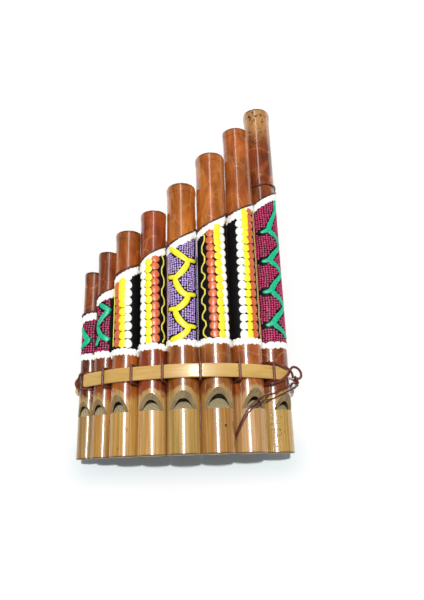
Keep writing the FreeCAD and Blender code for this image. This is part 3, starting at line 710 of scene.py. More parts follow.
def pipe_blank(i):
    """The pipe before its window is cut."""
    end, rings = LENGTH[i], pipe_profile(i)
    rng = random.Random(50 + i)
    tilt, phase = 0.05 * rng.uniform(0.5, 1.0), rng.uniform(0, 6.28)
    verts = []
    for kind, r, y in rings:
        for s in range(PIPE_SIDES):
            angle = 2 * math.pi * s / PIPE_SIDES
            ring_y = y
            # the rim is sawn slightly off square and ragged
            if kind in ("top", "lip", "cup") or (kind == "out" and y > end - 1.2):
                share = min(1.0, (y - (end - 1.2)) / 1.2) if kind == "out" else 1.0
                ragged = abs(noise.noise(Vector((angle * 2.1, i * 3.0, 1.0))))
                lean = tilt * R_TOP[i] * (math.sin(angle + phase) - 1.0)
                ring_y = y + share * (lean - 0.10 * ragged)
            out = ring_radius(i, kind, r, y, angle)
            verts.append((AXIS_X[i] + out * math.sin(angle), max(ring_y, 0.0),
                          AXIS_Z[i] + out * math.cos(angle)))
    faces = tube_faces(len(rings), PIPE_SIDES)
    face_materials = []                 # 0 skin, 1 cut bamboo
    for kind, r, y in rings[:-1]:
        cut = (kind in ("in", "face", "lip", "cup") or (kind == "out" and y < 0.05)
               or (kind == "top" and r < 0.95))
        face_materials += [int(cut)] * PIPE_SIDES
    centre, last = len(verts), (len(rings) - 1) * PIPE_SIDES
    verts.append((AXIS_X[i], end - NODE_RECESS - NODE_WALL, AXIS_Z[i]))
    verts.append((AXIS_X[i], end - NODE_RECESS + 0.25, AXIS_Z[i]))
    for s in range(PIPE_SIDES):
        n = (s + 1) % PIPE_SIDES
        faces += [(n, s, centre), (last + s, last + n, centre + 1)]
        face_materials += [1, 1]
    ob = make("bamboo_pipe_%d" % (i + 1), verts, faces, [SKIN[i], CUT],
              face_materials=face_materials)
    return ob


def window_cutter(i):
    """Wedge: straight edge toward the mouth, slope away from it."""
    cols, rows = 26, 22
    radius = radius_at(i, WINDOW_Y)
    half = radius + 2.0
    length = WINDOW_LENGTH[i] * 1.35
    below, above = [], []
    for row in range(rows + 1):
        y = WINDOW_Y + length * row / rows
        for col in range(cols + 1):
            across = -half + 2 * half * col / cols
            uneven = 0.06 * noise.noise(Vector((across * 0.5 + 9 * i, y * 0.35, 0.3)))
            bow = 0.05 * math.cos(math.pi * abs(across) / half)
            keel = WINDOW_KEEL[i] * max(0.0, 1 - abs(across) / (half * 0.45))
            out = slope_height(i, y) + uneven - 0.06 - bow + keel
            below.append(in_window_frame(i, across, y, out))
            above.append(in_window_frame(i, across, y, radius + 4.0))
    base, w = len(below), cols + 1
    faces = []
    for row in range(rows):
        for col in range(cols):
            p = row * w + col
            q = base + p
            faces += [(p, p + 1, p + w + 1, p + w), (q, q + w, q + w + 1, q + 1)]
    for col in range(cols):
        p = rows * w + col
        faces += [(col, base + col, base + col + 1, col + 1), (p, p + 1, base + p + 1, base + p)]
    for row in range(rows):
        p = row * w
        faces.append((p, p + w, base + p + w, base + p))
        p += cols
        faces.append((p, base + p, base + p + w, p + w))
    return make("cutter", below + above, faces, [CUT])


def pipe(i):
    ob = pipe_blank(i)
    cutter = window_cutter(i)
    face_outward(cutter)
    face_outward(ob)
    cut = ob.modifiers.new("window", "BOOLEAN")
    cut.operation, cut.solver, cut.object = "DIFFERENCE", "EXACT", cutter
    graph = bpy.context.evaluated_depsgraph_get()
    me = bpy.data.meshes.new_from_object(ob.evaluated_get(graph), preserve_all_data_layers=True,
                                         depsgraph=graph)
    ob.modifiers.clear()
    ob.data = me
    bpy.data.objects.remove(cutter, do_unlink=True)
    slots = [m.name for m in me.materials]
    for p in me.polygons:
        # a knife face may arrive with a slot number the pipe doesn't have
        if p.material_index >= len(slots):
            p.material_index = slots.index("cut_bamboo")
        p.use_smooth = True
    along, above = [], []
    for v in me.vertices:
        x, y, z = v.co.x * 1000 - DATUM_X, v.co.y * 1000 - DATUM_Y, v.co.z * 1000
        along.append(y)
        above.append(above_slope(i, x, y, z))
    for name, values in (("along", along), ("rampd", above)):
        me.attributes.new(name, "FLOAT", "POINT").data.foreach_set("value", values)
    sharpen(ob, 32)
    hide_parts("pipe_%d" % (i + 1))
    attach(ob, ROOT)


def plug(i):
    """Round stock with a flat for the windway and a sloped, slightly hollowed nose."""
    sides = 72
    radius = bore_radius(i) - 0.04
    flat = radius - WINDWAY[i] - 0.01
    nose = WINDOW_Y - 0.2
    ys = ([0.06, 0.2] + list(np.linspace(1.2, WINDOW_Y - 0.5, 12))
          + list(np.linspace(nose, WINDOW_Y + 5.6, 26)))
    verts = []
    for y in ys:
        limit = flat
        if y > nose:
            limit += (-0.25 * radius - flat) * ((y - nose) / 6.2) ** 0.9
        r = radius - (0.15 if y < 0.1 else 0.0)
        for s in range(sides):
            angle = 2 * math.pi * s / sides
            across, out = r * math.sin(angle), r * math.cos(angle)
            if out > limit:
                out = limit
                if y > WINDOW_Y:
                    out -= 0.06 * radius * math.exp(-(across / (radius * 0.45)) ** 2)
            verts.append(in_window_frame(i, across, y, out))
    ob = make("fipple_plug_%d" % (i + 1), verts,
              tube_faces(len(ys), sides) + end_caps(len(ys), sides), [PLUG],
              replaces="plug_%d" % (i + 1))
    sharpen(ob, 30)
    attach(ob, ROOT)


for i in range(COUNT):
    pipe(i)
for i in range(COUNT):
    plug(i)


# ------------------------------------------------------------------ strips
# side is 1 for the front (+Z) strip and -1 for the back one
def unit(x, z):
    size = math.hypot(x, z)
    return (x / size, z / size)


def shared_slope(i, side):
    """Slope in the XZ plane of the line touching pipes i and i + 1 on one side."""
    dx, dz = AXIS_X[i + 1] - AXIS_X[i], AXIS_Z[i + 1] - AXIS_Z[i]
    distance = math.hypot(dx, dz)
    s = (radius_at(i, STRIP_MID_Y) - radius_at(i + 1, STRIP_MID_Y)) / distance
    c = math.sqrt(1 - s * s)
    dx, dz = dx / distance, dz / distance
    nx, nz = dx * s - side * dz * c, dz * s + side * dx * c
    return math.atan2(-side * nx, side * nz)


def strip_curve(side, first_slope, last_slope, lead_left, lead_right):
    """(point, outward normal) pairs in XZ along the strip's underside, bent over the pipes."""
    shared = [shared_slope(i, side) for i in range(COUNT - 1)]
    slopes = [math.radians(first_slope)]
    slopes += [(a + b) / 2.0 for a, b in zip(shared, shared[1:])]
    slopes.append(math.radians(last_slope))
    points, tangents = [], []
    for i, a in enumerate(slopes):
        r = radius_at(i, STRIP_MID_Y) + STRIP_CLEAR
        points.append((AXIS_X[i] - side * r * math.sin(a), AXIS_Z[i] + side * r * math.cos(a)))
        tangents.append((math.cos(a), math.sin(a)))
    (x0, z0), (tx0, tz0) = points[0], tangents[0]
    (x1, z1), (tx1, tz1) = points[-1], tangents[-1]
    points = ([(x0 - lead_left * tx0, z0 - lead_left * tz0)] + points
              + [(x1 + lead_right * tx1, z1 + lead_right * tz1)])
    tangents = [tangents[0]] + tangents + [tangents[-1]]
    out, steps = [], 10
    for k in range(len(points) - 1):
        (x0, z0), (x1, z1) = points[k], points[k + 1]
        (tx0, tz0), (tx1, tz1) = tangents[k], tangents[k + 1]
        m = math.hypot(x1 - x0, z1 - z0)
        for j in range(steps + (1 if k == len(points) - 2 else 0)):
            u = j / float(steps)
            # Hermite weights, then those of its derivative
            h00, h10 = 2 * u**3 - 3 * u**2 + 1, u**3 - 2 * u**2 + u
            h01, h11 = -2 * u**3 + 3 * u**2, u**3 - u**2
            x = h00 * x0 + h10 * m * tx0 + h01 * x1 + h11 * m * tx1
            z = h00 * z0 + h10 * m * tz0 + h01 * z1 + h11 * m * tz1
            d00, d10, d11 = 6 * u**2 - 6 * u, 3 * u**2 - 4 * u + 1, 3 * u**2 - 2 * u
            tx, tz = unit(d00 * (x0 - x1) + d10 * m * tx0 + d11 * m * tx1,
                          d00 * (z0 - z1) + d10 * m * tz0 + d11 * m * tz1)
            out.append(((x, z), (-side * tz, side * tx)))
    return out


def corner_inset(distance, span, depth):
    """How far a rounded corner cuts in at a distance from the strip's end."""
    u = max(0.0, min(1.0, distance / span))
    return depth * (1 - math.sqrt(max(0.0, 1 - (1 - u) ** 2)))


def front_limits(x):
    """Y limits: rounded at low X, tapered by two slanting cuts at high X."""
    (low, high), (left, right) = FRONT_Y, FRONT_X
    inset = corner_inset(x - left, span=2.0, depth=1.7)
    upper_cut, lower_cut = 46.2, 48.6   # x where the slants start
    upper = high - (x - upper_cut) * (high - 38.5) / (right - 0.5 - upper_cut)
    lower = low + (x - lower_cut) * (37.5 - low) / (right - lower_cut)
    a, b = max(low + inset, lower), min(high - inset, upper)
    return a, max(b, a + 0.5)


def back_limits(x):
    """Y limits: rounded at both ends."""
    a, b = BACK_Y
    for distance in (x - BACK_X[0], BACK_X[1] - x):
        inset = corner_inset(distance, span=2.2, depth=2.1)
        a, b = a + inset, b - inset
    return a, b


def strip_section(a, b, t):
    """(y, height) points round the section, its upper edges worn."""
    c = min(0.42, (b - a) * 0.22)
    edge = [(0.10, 0.0), (0, 0.22), (0, t - c), (c * 0.3, t - c * 0.35), (c, t - 0.05)]
    crown = [(a + c + (b - a - 2 * c) * u, t - drop)
             for u, drop in ((0.25, 0.025), (0.5, 0.012), (0.75, 0.025))]
    return ([(a + inset, h) for inset, h in edge] + crown
            + [(b - inset, h) for inset, h in reversed(edge)]
            + [(a + (b - a) * u, 0.0) for u in (0.66, 0.33)])


def strip(name, curve, t, y_limits, x_limits, limits_at, material, node, side):
    """Split strip: flat underside, gently crowned face."""
    left, right = x_limits[0] + 0.05, x_limits[1] - 0.05
    middle = 0.5 * (y_limits[0] + y_limits[1])
    stations = []
    for (p0, n0), (p1, n1) in zip(curve, curve[1:]):
        for j in range(3):
            u = j / 3.0
            p = (p0[0] + (p1[0] - p0[0]) * u, p0[1] + (p1[1] - p0[1]) * u)
            n = unit(n0[0] + (n1[0] - n0[0]) * u, n0[1] + (n1[1] - n0[1]) * u)
            if left <= p[0] + n[0] * t <= right and left <= p[0] <= right:
                stations.append((p, n))
    verts, suv = [], []
    s = 0.0
    for k, (p, n) in enumerate(stations):
        if k:
            before = stations[k - 1][0]
            s += math.hypot(p[0] - before[0], p[1] - before[1])
        a, b = limits_at(p[0] + n[0] * t * 0.5)
        sway = (0.05 * noise.noise(Vector((s * 0.09, side * 3.0, 0)))
                + 0.02 * noise.noise(Vector((s * 0.5, 1.0, 0))))
        section = strip_section(a + 0.04 + sway, b - 0.04 + sway, t)
        for y, h in section:
            dent = max(0.0, noise.noise(Vector((s * 0.16, y * 0.8, h)))) if h > 0.3 else 0.0
            out = h - 0.03 * dent
            verts.append((p[0] + n[0] * out, y, p[1] + n[1] * out))
            suv.append((s, y - middle, h))
    rings, sides = len(stations), len(section)
    ob = make(name, verts, tube_faces(rings, sides) + end_caps(rings, sides), [material],
              suv=suv, replaces=node)
    face_outward(ob)
    sharpen(ob, 50)
    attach(ob, ROOT)


FRONT_CURVE = strip_curve(side=1, first_slope=35.0, last_slope=-36.0, lead_left=3.0,
                          lead_right=7.0)
BACK_CURVE = strip_curve(side=-1, first_slope=21.0, last_slope=-25.0, lead_left=14.0,
                         lead_right=14.0)
strip("front_strip_bar", FRONT_CURVE, FRONT_T, FRONT_Y, FRONT_X, front_limits, FRONT_STRIP,
      "front_bar", side=1)
strip("back_strip_bar", BACK_CURVE, BACK_T, BACK_Y, BACK_X, back_limits, BACK_STRIP,
      "back_bar", side=-1)


# ------------------------------------------------------------------ gaps between pipes
def reach(curve, t, start, d):
    """Distance from start along d to the strip's outer face."""
    best = None
    points = [(p[0] + n[0] * t, p[1] + n[1] * t) for p, n in curve]
    for (x0, z0), (x1, z1) in zip(points, points[1:]):
        ex, ez = x1 - x0, z1 - z0
        cross = d[0] * ez - d[1] * ex
        if abs(cross) < 1e-9:
            continue
        s = ((x0 - start[0]) * ez - (z0 - start[1]) * ex) / cross
        u = ((x0 - start[0]) * d[1] - (z0 - start[1]) * d[0]) / cross
        if -1e-6 <= u <= 1 + 1e-6 and s > 0 and (best is None or s < best):
            best = s
    return best


# per gap: its middle and frontward direction in XZ, distances to the outer faces of the
# front and back strips, and the angle from the left pipe to the right one in degrees
GAP_MID, GAP_DIR, GAP_FRONT, GAP_BACK, GAP_ANGLE = [], [], [], [], []
for i in range(COUNT - 1):
    dx, dz = AXIS_X[i + 1] - AXIS_X[i], AXIS_Z[i + 1] - AXIS_Z[i]
    distance = math.hypot(dx, dz)
    ux, uz = dx / distance, dz / distance
    left_r, right_r = radius_at(i, STRIP_MID_Y), radius_at(i + 1, STRIP_MID_Y)
    to_mid = left_r + (distance - left_r - right_r) / 2.0
    mid = (AXIS_X[i] + ux * to_mid, AXIS_Z[i] + uz * to_mid)
    GAP_MID.append(mid)
    GAP_DIR.append((-uz, ux))
    GAP_FRONT.append(reach(FRONT_CURVE, FRONT_T, mid, (-uz, ux)))
    GAP_BACK.append(reach(BACK_CURVE, BACK_T, mid, (uz, -ux)))
    GAP_ANGLE.append(math.degrees(math.atan2(dx, dz)))


def at_gap(i, forward, y):
    return Vector((GAP_MID[i][0] + GAP_DIR[i][0] * forward, y,
                   GAP_MID[i][1] + GAP_DIR[i][1] * forward))


# ------------------------------------------------------------------ cord paths and sweep
def around(i, angle0, angle1, y0, y1, lift, n, lag=1.0):
    """Arc of n chords round a pipe, set out so the chords clear it."""
    half_step = math.radians(abs(angle1 - angle0)) / n / 2.0
    out = []
    for k in range(n + 1):
        u = k / float(n)
        angle = math.radians(angle0 + (angle1 - angle0) * u)
        y = y0 + (y1 - y0) * u ** lag
        r = (radius_at(i, y) + (lift(u) if callable(lift) else lift)) / math.cos(half_step)
        out.append(Vector((AXIS_X[i] + r * math.sin(angle), y,
                           AXIS_Z[i] + r * math.cos(angle))))
    return out


def chaikin(points, rounds):
    for _ in range(rounds):
        cut = [points[0]]
        for a, b in zip(points, points[1:]):
            cut += [a * 0.75 + b * 0.25, a * 0.25 + b * 0.75]
        cut.append(points[-1])
        points = cut
    return points


def resample(points, spacing):
    out, carried = [points[0]], 0.0
    for a, b in zip(points, points[1:]):
        length = (b - a).length
        if length < 1e-9:
            continue
        t = spacing - carried
        while t <= length:
            out.append(a + (b - a) * (t / length))
            t += spacing
        carried = (carried + length) % spacing
    if (out[-1] - points[-1]).length > spacing * 0.3:
        out.append(points[-1])
    return out


def dense(points):
    """Adds points on the straight runs, so that corner rounding stays local."""
    out = [points[0]]
    for a, b in zip(points, points[1:]):
        n = max(1, int((b - a).length / 1.5))
        out += [a + (b - a) * (j / n) for j in range(1, n + 1)]
    return out


STRANDS, STRAND_GROOVE = 3, 0.13
STRAND_TWIST = 3.2 * 2.6                # length of one turn, in cord radii


def rope(name, path, r, material, seed, replaces=None, sides=18, spacing=None, smooth=3,
         rides=True):
    """Twisted cord swept along a path."""
    points = resample(chaikin(path, smooth), spacing or r * 0.36)
    n = len(points)
    verts, suv = [], []
    up, s = None, 0.0
    for k in range(n):
        t = (points[min(k + 1, n - 1)] - points[max(k - 1, 0)]).normalized()
        if up is None:
            up = Vector((0.13, 0.21, 0.97))
            if abs(t.dot(up)) > 0.9:
                up = Vector((1, 0, 0))
        up = (up - t * up.dot(t)).normalized()
        side = t.cross(up).normalized()
        if k:
            s += (points[k] - points[k - 1]).length
        for q in range(sides):
            angle = 2 * math.pi * q / sides
            c, sn = math.cos(angle), math.sin(angle)
            turned = angle - s * 2 * math.pi / (STRAND_TWIST * r)
            lobe = 1 - STRAND_GROOVE + STRAND_GROOVE * abs(math.cos(0.5 * STRANDS * turned))
            lobe *= 1 + 0.02 * noise.noise(Vector((s * 2.2 + seed * 7, c * 2, sn * 2)))
            verts.append(points[k] + (up * c + side * sn) * r * lobe * 0.985)
            suv.append((s, angle / (2 * math.pi) * 3.0 + s * 0.4, 0.0))
    faces = tube_faces(n, sides)
    last = (n - 1) * sides
    tips = ((points[0], points[0] - points[1], 0.0), (points[-1], points[-1] - points[-2], s))
    for end, (point, outward, along) in enumerate(tips):
        tip = len(verts)
        verts.append(point + outward.normalized() * (r * 0.28))
        suv.append((along, 0, 0))
        for q in range(sides):
            w = (q + 1) % sides
            faces.append((last + q, last + w, tip) if end else (w, q, tip))
    ob = make(name, verts, faces, [material], suv=suv, replaces=replaces)
    if rides:
        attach(ob, ROOT)
    return ob


# ------------------------------------------------------------------ thick lashing
Y_ABOVE = max(FRONT_Y[1], BACK_Y[1]) + CORD_LIFT
Y_BELOW_FRONT = FRONT_Y[0] - CORD_LIFT
Y_BELOW_BACK = BACK_Y[0] - CORD_LIFT


def behind_back_strip(x):
    """Z of a cord lying on the back strip's outer face."""
    off = BACK_T + CORD_LIFT
    line = [(p[0] + n[0] * off, p[1] + n[1] * off) for p, n in BACK_CURVE]
    z = None
    for (x0, z0), (x1, z1) in zip(line, line[1:]):
        if x0 <= x <= x1:
            z = z0 + (z1 - z0) * (x - x0) / (x1 - x0)
    return z


def lashing_run():
    """Runs behind the back strip and loops over both strips in every gap after the first."""
    path = [at_gap(0, 0.15, Y_ABOVE), at_gap(0, -2.5, Y_ABOVE)]
    for gap in range(COUNT - 1):
        back, front = GAP_BACK[gap] + CORD_LIFT, GAP_FRONT[gap]
        if gap > 0:
            path += [at_gap(gap, -back, Y_BELOW_BACK),
                     at_gap(gap, -back * 0.45, Y_BELOW_BACK + 0.3),
                     at_gap(gap, front * 0.45, Y_BELOW_FRONT - 0.2),
                     at_gap(gap, front + CORD_LIFT, Y_BELOW_FRONT),
                     at_gap(gap, front + CORD_LIFT, Y_ABOVE),
                     at_gap(gap, 0.0, Y_ABOVE)]
        path.append(at_gap(gap, -back, Y_ABOVE))
    path.append(Vector((46.6, Y_BELOW_BACK - 0.3, behind_back_strip(46.6))))
    path.append(Vector((49.4, Y_BELOW_BACK - 0.5, behind_back_strip(49.4) + 1.6)))
    path += around(7, 136, 108, 31.8, 32.6, CORD_R + 0.25, 2)
    path.append(Vector((54.9, 34.0, LAST_Z + 0.2)))
    rope("lashing_run", dense(path), CORD_R * 1.12, CORD, seed=1, replaces="lashing_cord")


def left_wrap():
    """Two turns round pipe 1 and the strips' low-X ends."""
    gap_edge = GAP_ANGLE[0] - 24
    path = around(0, -172, -128, 42.2, 42.2, CORD_LIFT, 2)
    path += around(0, -128, -46, 42.2, Y_BELOW_FRONT,
                   lambda u: CORD_LIFT + TURN_PITCH * math.sin(math.pi * u) ** 0.8, 6)[1:]
    path += around(0, -46, gap_edge, Y_BELOW_FRONT, Y_BELOW_FRONT, CORD_LIFT, 3)[1:]
    path += [at_gap(0, 0.0, Y_BELOW_FRONT), at_gap(0, -3.2, Y_BELOW_BACK),
             at_gap(0, -GAP_BACK[0] - 0.2, Y_BELOW_BACK - 0.1),
             Vector((-50.5, Y_BELOW_BACK - 0.1, AXIS_Z[0] - 6.2)),
             Vector((-54.2, Y_BELOW_BACK + 0.1, AXIS_Z[0] - 3.6))]
    path += around(0, -112, -46, Y_BELOW_BACK + 0.5, Y_ABOVE, CORD_LIFT, 5)
    path += around(0, -46, gap_edge, Y_ABOVE, Y_ABOVE, CORD_LIFT, 3)[1:]
    path.append(at_gap(0, 0.35, Y_ABOVE))
    rope("left_wrap", dense(path), CORD_R, CORD, seed=2, replaces="left_end_wrap")


# crossing strands on pipe 8: (angle, y, lift above a cord on the front strip)
OVER_STRAND = [(10, 41.9, 0.5), (22, 40.7, 1.25), (32, 39.5, 1.5), (42, 38.1, 1.5),
               (50, 36.9, 0.9), (56, 35.9, 0.3)]
UNDER_STRAND = [(6, 33.4, -0.3), (17, 34.3, 0.0), (27, 35.6, 0.0), (37, 37.2, 0.0),
                (47, 38.9, -0.2), (56, 40.6, -0.3), (64, 41.6, 0.5)]
# where the under strand turns back: (x, y, z above pipe 8's axis)
UNDER_TURN = [(57.3, 41.0, 4.2), (58.9, 39.2, 3.6), (59.2, 37.6, 3.0), (58.9, 36.4, 2.6),
              (58.0, 35.7, 2.3)]


def right_wraps():
    """Two strands crossing over the front strip's high-X end."""
    on_strip = FRONT_T + CORD_R + 0.08
    above, below = Y_ABOVE + TURN_PITCH, Y_BELOW_FRONT - TURN_PITCH
    path = [at_gap(6, 0.0, above), at_gap(6, 4.5, above), at_gap(6, 8.9, Y_ABOVE + 1.0)]
    path += [off_axis(7, angle, y, on_strip + lift) for angle, y, lift in OVER_STRAND]
    rope("right_wrap_over", path, CORD_R, CORD, seed=3, replaces="right_end_wrap")
    path = [at_gap(6, 0.0, below), at_gap(6, 4.5, below), at_gap(6, 8.7, Y_BELOW_FRONT - 1.1)]
    path += [off_axis(7, angle, y, on_strip + lift) for angle, y, lift in UNDER_STRAND]
    path += [Vector((x, y, LAST_Z + z)) for x, y, z in UNDER_TURN]
    rope("right_wrap_under", path, CORD_R, CORD, seed=4)


KNOT = Vector((56.6, 35.1, LAST_Z + 2.0))


def knot():
    """Trefoil at the high-X side of pipe 8."""
    size, gap = 0.66, 0.10
    turn = Matrix.Rotation(math.radians(62), 3, Vector((0, 1, 0)))
    path = []
    for k in range(65):
        t = gap + (2 * math.pi - 2 * gap) * k / 64.0
        ring = (2 + math.cos(3 * t)) * size
        q = Vector((ring * math.cos(2 * t) * 0.92, ring * math.sin(2 * t),
                    math.sin(3 * t) * size * 1.12))
        path.append(turn @ q + KNOT)
    rope("tied_knot", path, KNOT_R, CORD, seed=5, replaces="cord_knot", smooth=1)


lashing_run()
left_wrap()
right_wraps()
knot()

# ------------------------------------------------------------------ hanging loop
HINGE = Vector((54.2, 31.9, LAST_Z + 4.9))
HINGE_AXIS = Vector((-0.695, 0.719, 0)).normalized()
HINGE_OUT = Vector((0.719, 0.695, 0))
# strands laid over pipes 8 and 7: (pipe index, angle, y, extra lift)
LOOP_UPPER = [(7, 44, 31.1, 0.25), (7, 30.5, 30.3, 0), (7, 11.5, 29.3, 0), (7, -5, 28.3, 0),
              (7, -20, 27.5, 0.1), (6, 62, 26.3, 0), (6, 48, 25.5, 0), (6, 33, 24.7, 0),
              (6, 21, 23.6, 0), (6, 9, 22.5, 0), (6, -3, 21.1, 0), (6, -15, 18.6, 0),
              (6, -25, 16.6, 0), (6, -36, 14.2, 0), (6, -47, 11.7, 0), (6, -57, 9.6, 0),
              (6, -66, 8.0, 0)]
LOOP_TIP = [(6, -72, 6.9, 0.1), (6, -72, 5.6, 0.3), (6, -65, 5.5, 0.3)]
LOOP_LOWER = [(7, 48, 29.5, 0.35), (7, 29, 28.1, 0), (7, 10, 26.9, 0), (7, -6.5, 25.9, 0),
              (7, -22, 25.0, 0.1), (6, 58, 24.2, 0), (6, 45, 23.4, 0), (6, 30, 22.2, 0),
              (6, 17, 21.1, 0), (6, 5, 20.2, 0), (6, -5, 18.8, 0), (6, -16.5, 16.6, 0),
              (6, -28, 14.2, 0), (6, -39, 11.8, 0), (6, -49, 9.6, 0), (6, -58, 7.6, 0)]


def hanging_loop():
    """One cord from the knot, down over pipes 8 and 7, round a tip and back to the knot."""
    upper = HINGE + HINGE_AXIS * 1.1
    lower = HINGE - HINGE_AXIS * 1.1
    knot_upper = KNOT + Vector((-1.5, -1.6, 1.0))
    knot_lower = KNOT + Vector((0.6, -2.6, 0.4))
    path = [knot_upper, upper * 0.6 + knot_upper * 0.4, upper,
            upper - HINGE_OUT * 1.2 + Vector((0, 0, -0.25))]
    path += [off_axis(i, angle, y, LOOP_LIFT + extra)
             for i, angle, y, extra in LOOP_UPPER + LOOP_TIP + LOOP_LOWER[::-1]]
    path += [lower - HINGE_OUT * 1.2 + Vector((0, 0, -0.2)), lower,
             lower * 0.6 + knot_lower * 0.4, knot_lower]
    ob = rope("hanging_loop_cord", path, LOOP_R, LOOP_CORD, seed=6, replaces="hanging_loop",
              smooth=2, spacing=0.16, sides=14, rides=False)
    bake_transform(ob)


hanging_loop()

# ------------------------------------------------------------------ thin woven cord
# Y where the cord crossing a front passes back through the gap on its right, and where the
# cord from behind comes forward; the last entries lie on the far side of pipe 8
Y_IN = [75.5, 85.6, 96.0, 104.6, 113.6, 124.5, 134.2, 142.5]
Y_OUT = [77.6, 88.6, 93.4, 102.8, 112.0, 122.8, 132.6, 145.5]
FIRST_CROSSING = (73.1, 75.0)
LAG = [1.0, 1.0, 1.35, 1.0, 1.6, 1.65, 1.6, 1.05]       # how late each front crossing climbs


def front_arc(i):
    """Angles between which a front crossing touches the pipe."""
    left = GAP_ANGLE[i - 1] - 180 if i > 0 else -90
    right = GAP_ANGLE[i] if i < COUNT - 1 else 90
    return left + 15, right - 15


def crossing(i):
    """Y at the start and end of a front crossing."""
    return (Y_OUT[i - 1], Y_IN[i]) if i > 0 else FIRST_CROSSING


def over(i):
    return around(i, *front_arc(i), *crossing(i), THIN_LIFT, 6, lag=LAG[i])


def under(i):
    right = GAP_ANGLE[i] if i < COUNT - 1 else 90
    return around(i, GAP_ANGLE[i - 1] + 180 - 15, right + 15, Y_IN[i - 1], Y_OUT[i],
                  THIN_LIFT, 6)


def woven_cords():
    """Two cords weaving in and out, swapping sides at every gap."""
    cord_a = around(0, -176, -75, 72.2, 73.0, THIN_LIFT, 4) + over(0)[1:]
    cord_b = around(0, -181.5, GAP_ANGLE[0] - 360 + 15, 72.2, 77.2, THIN_LIFT, 3)
    front, back = cord_a, cord_b
    for gap in range(COUNT - 1):
        front.append(at_gap(gap, 0.0, Y_IN[gap]))
        front.extend(under(gap + 1))
        back.append(at_gap(gap, 0.0, Y_OUT[gap]))
        back.extend(over(gap + 1))
        front, back = back, front
    cord_a += around(7, 92, GAP_ANGLE[6] - 180 + 15, 145.9, 144.2, THIN_LIFT, 7)
    cord_a.append(at_gap(6, 0.0, 143.8))
    cord_b += around(7, 86, 116, 142.9, 143.6, THIN_LIFT, 2)
    for letter, path, seed in (("a", cord_a, 7), ("b", cord_b, 8)):
        rope("woven_cord_" + letter, path, THIN_R * 1.12, THIN_CORD, seed=seed,
             replaces="upper_cord_" + letter, smooth=2, spacing=0.18, sides=12)


woven_cords()

# ------------------------------------------------------------------ raised paint
SUNK = -0.02                            # paint edges end just under the skin


def paint_object(name, verts, faces, material):
    ob = make(name, verts, faces, [PAINT[material]])
    face_outward(ob)
    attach(ob, ROOT)


class Blobs:
    """Gathers raised paint of one colour on the pipes into one mesh."""

    def __init__(self, name, material):
        self.name, self.material = name, material
        self.verts, self.faces = [], []
        self.rng = random.Random(name)

    def dot(self, i, angle, y, half_w, half_h, height, sides=14, rings=4, wobble=0.06,
            base=0.09):
        """Domed dot; half_w runs round the pipe and half_h along it."""
        r = radius_at(i, y)
        first = len(self.verts)
        phase = self.rng.uniform(0, 6.28)
        self.verts.append(on_skin(i, angle, y, base + height))
        for k in range(1, rings + 1):
            f = math.sin(0.5 * math.pi * k / rings)
            h = SUNK
            if k < rings:
                h = base + height * math.cos(0.5 * math.pi * k / rings) ** 0.85
            for q in range(sides):
                t = 2 * math.pi * q / sides
                w = 1 + wobble * math.sin(2 * t + phase) + wobble * 0.7 * math.sin(3 * t - phase)
                du, dv = f * half_w * w * math.cos(t), f * half_h * w * math.sin(t)
                self.verts.append(on_skin(i, angle + math.degrees(du / r), y + dv, h))
        for q in range(sides):
            n = (q + 1) % sides
            self.faces.append((first, first + 1 + n, first + 1 + q))
            for k in range(1, rings):
                p = first + 1 + (k - 1) * sides
                self.faces.append((p + q, p + n, p + sides + n, p + sides + q))

    def line(self, i, path, width, height, taper=0.5, round_ends=True, smooth=2):
        """Rounded ribbon through (angle, y) points; width may be a function of 0..1."""
        spacing, base, across = 0.45, 0.09, 9
        r = radius_at(i, path[0][1])
        points = [Vector((math.radians(angle) * r, y, 0)) for angle, y in path]
        points = resample(chaikin(points, smooth), spacing)
        n, first = len(points), len(self.verts)
        seed = self.rng.uniform(0, 50)
        for k in range(n):
            t = (points[min(k + 1, n - 1)] - points[max(k - 1, 0)]).normalized()
            sideways = Vector((-t.y, t.x, 0))
            w = width(k / (n - 1)) if callable(width) else width
            w *= 1 + 0.06 * noise.noise(Vector((k * spacing * 0.7 + seed, 0, 0)))
            if round_ends:
                u = min(1.0, min(k, n - 1 - k) * spacing / (w * taper + 1e-6))
                w *= min(1.0, 0.15 + math.sqrt(max(0.0, 1 - (1 - u) ** 2)) * 0.85)
            for q in range(across):
                x = -1 + 2 * q / (across - 1)
                h = SUNK
                if 0 < q < across - 1:
                    h = base + height * math.sqrt(max(0.0, 1 - x * x)) ** 0.9
                p = points[k] + sideways * (x * w / 2)
                self.verts.append(on_skin(i, math.degrees(p.x / r), p.y, h))
        for k in range(n - 1):
            for q in range(across - 1):
                a = first + k * across + q
                self.faces.append((a, a + 1, a + across + 1, a + across))
        self.faces.append(tuple(first + q for q in range(across - 1, -1, -1)))
        self.faces.append(tuple(first + (n - 1) * across + q for q in range(across)))

    def done(self):
        paint_object(self.name, self.verts, self.faces, self.material)


# painted area per pipe: angle limits, lower edge, distance kept below the thin cord
PAINT_LEFT = [-112, -66, -78, -84, -86, -90, -80, -60]
PAINT_RIGHT = [48, 60, 78, 84, 88, 76, 84, 108]
PAINT_BOTTOM = [48.6, 48.2, 47.6, 49.0, 50.0, 50.5, 51.2, 50.8]
UNDER_CORD = [0.9, 0.7, 1.1, 0.5, 0.4, 0.4, 0.4, 0.4]


def paint_top(i, angle):
    """Upper edge of the paint, following the thin cord's front crossing."""
    left, right = front_arc(i)
    y0, y1 = crossing(i)
    u = (angle - left) / float(right - left)
    if u <= 0:
        return y0 - UNDER_CORD[i] - 0.5
    rise = u ** LAG[i] if u < 1 else 1 + 0.8 * (u - 1)
    return y0 + (y1 - y0) * rise - UNDER_CORD[i]


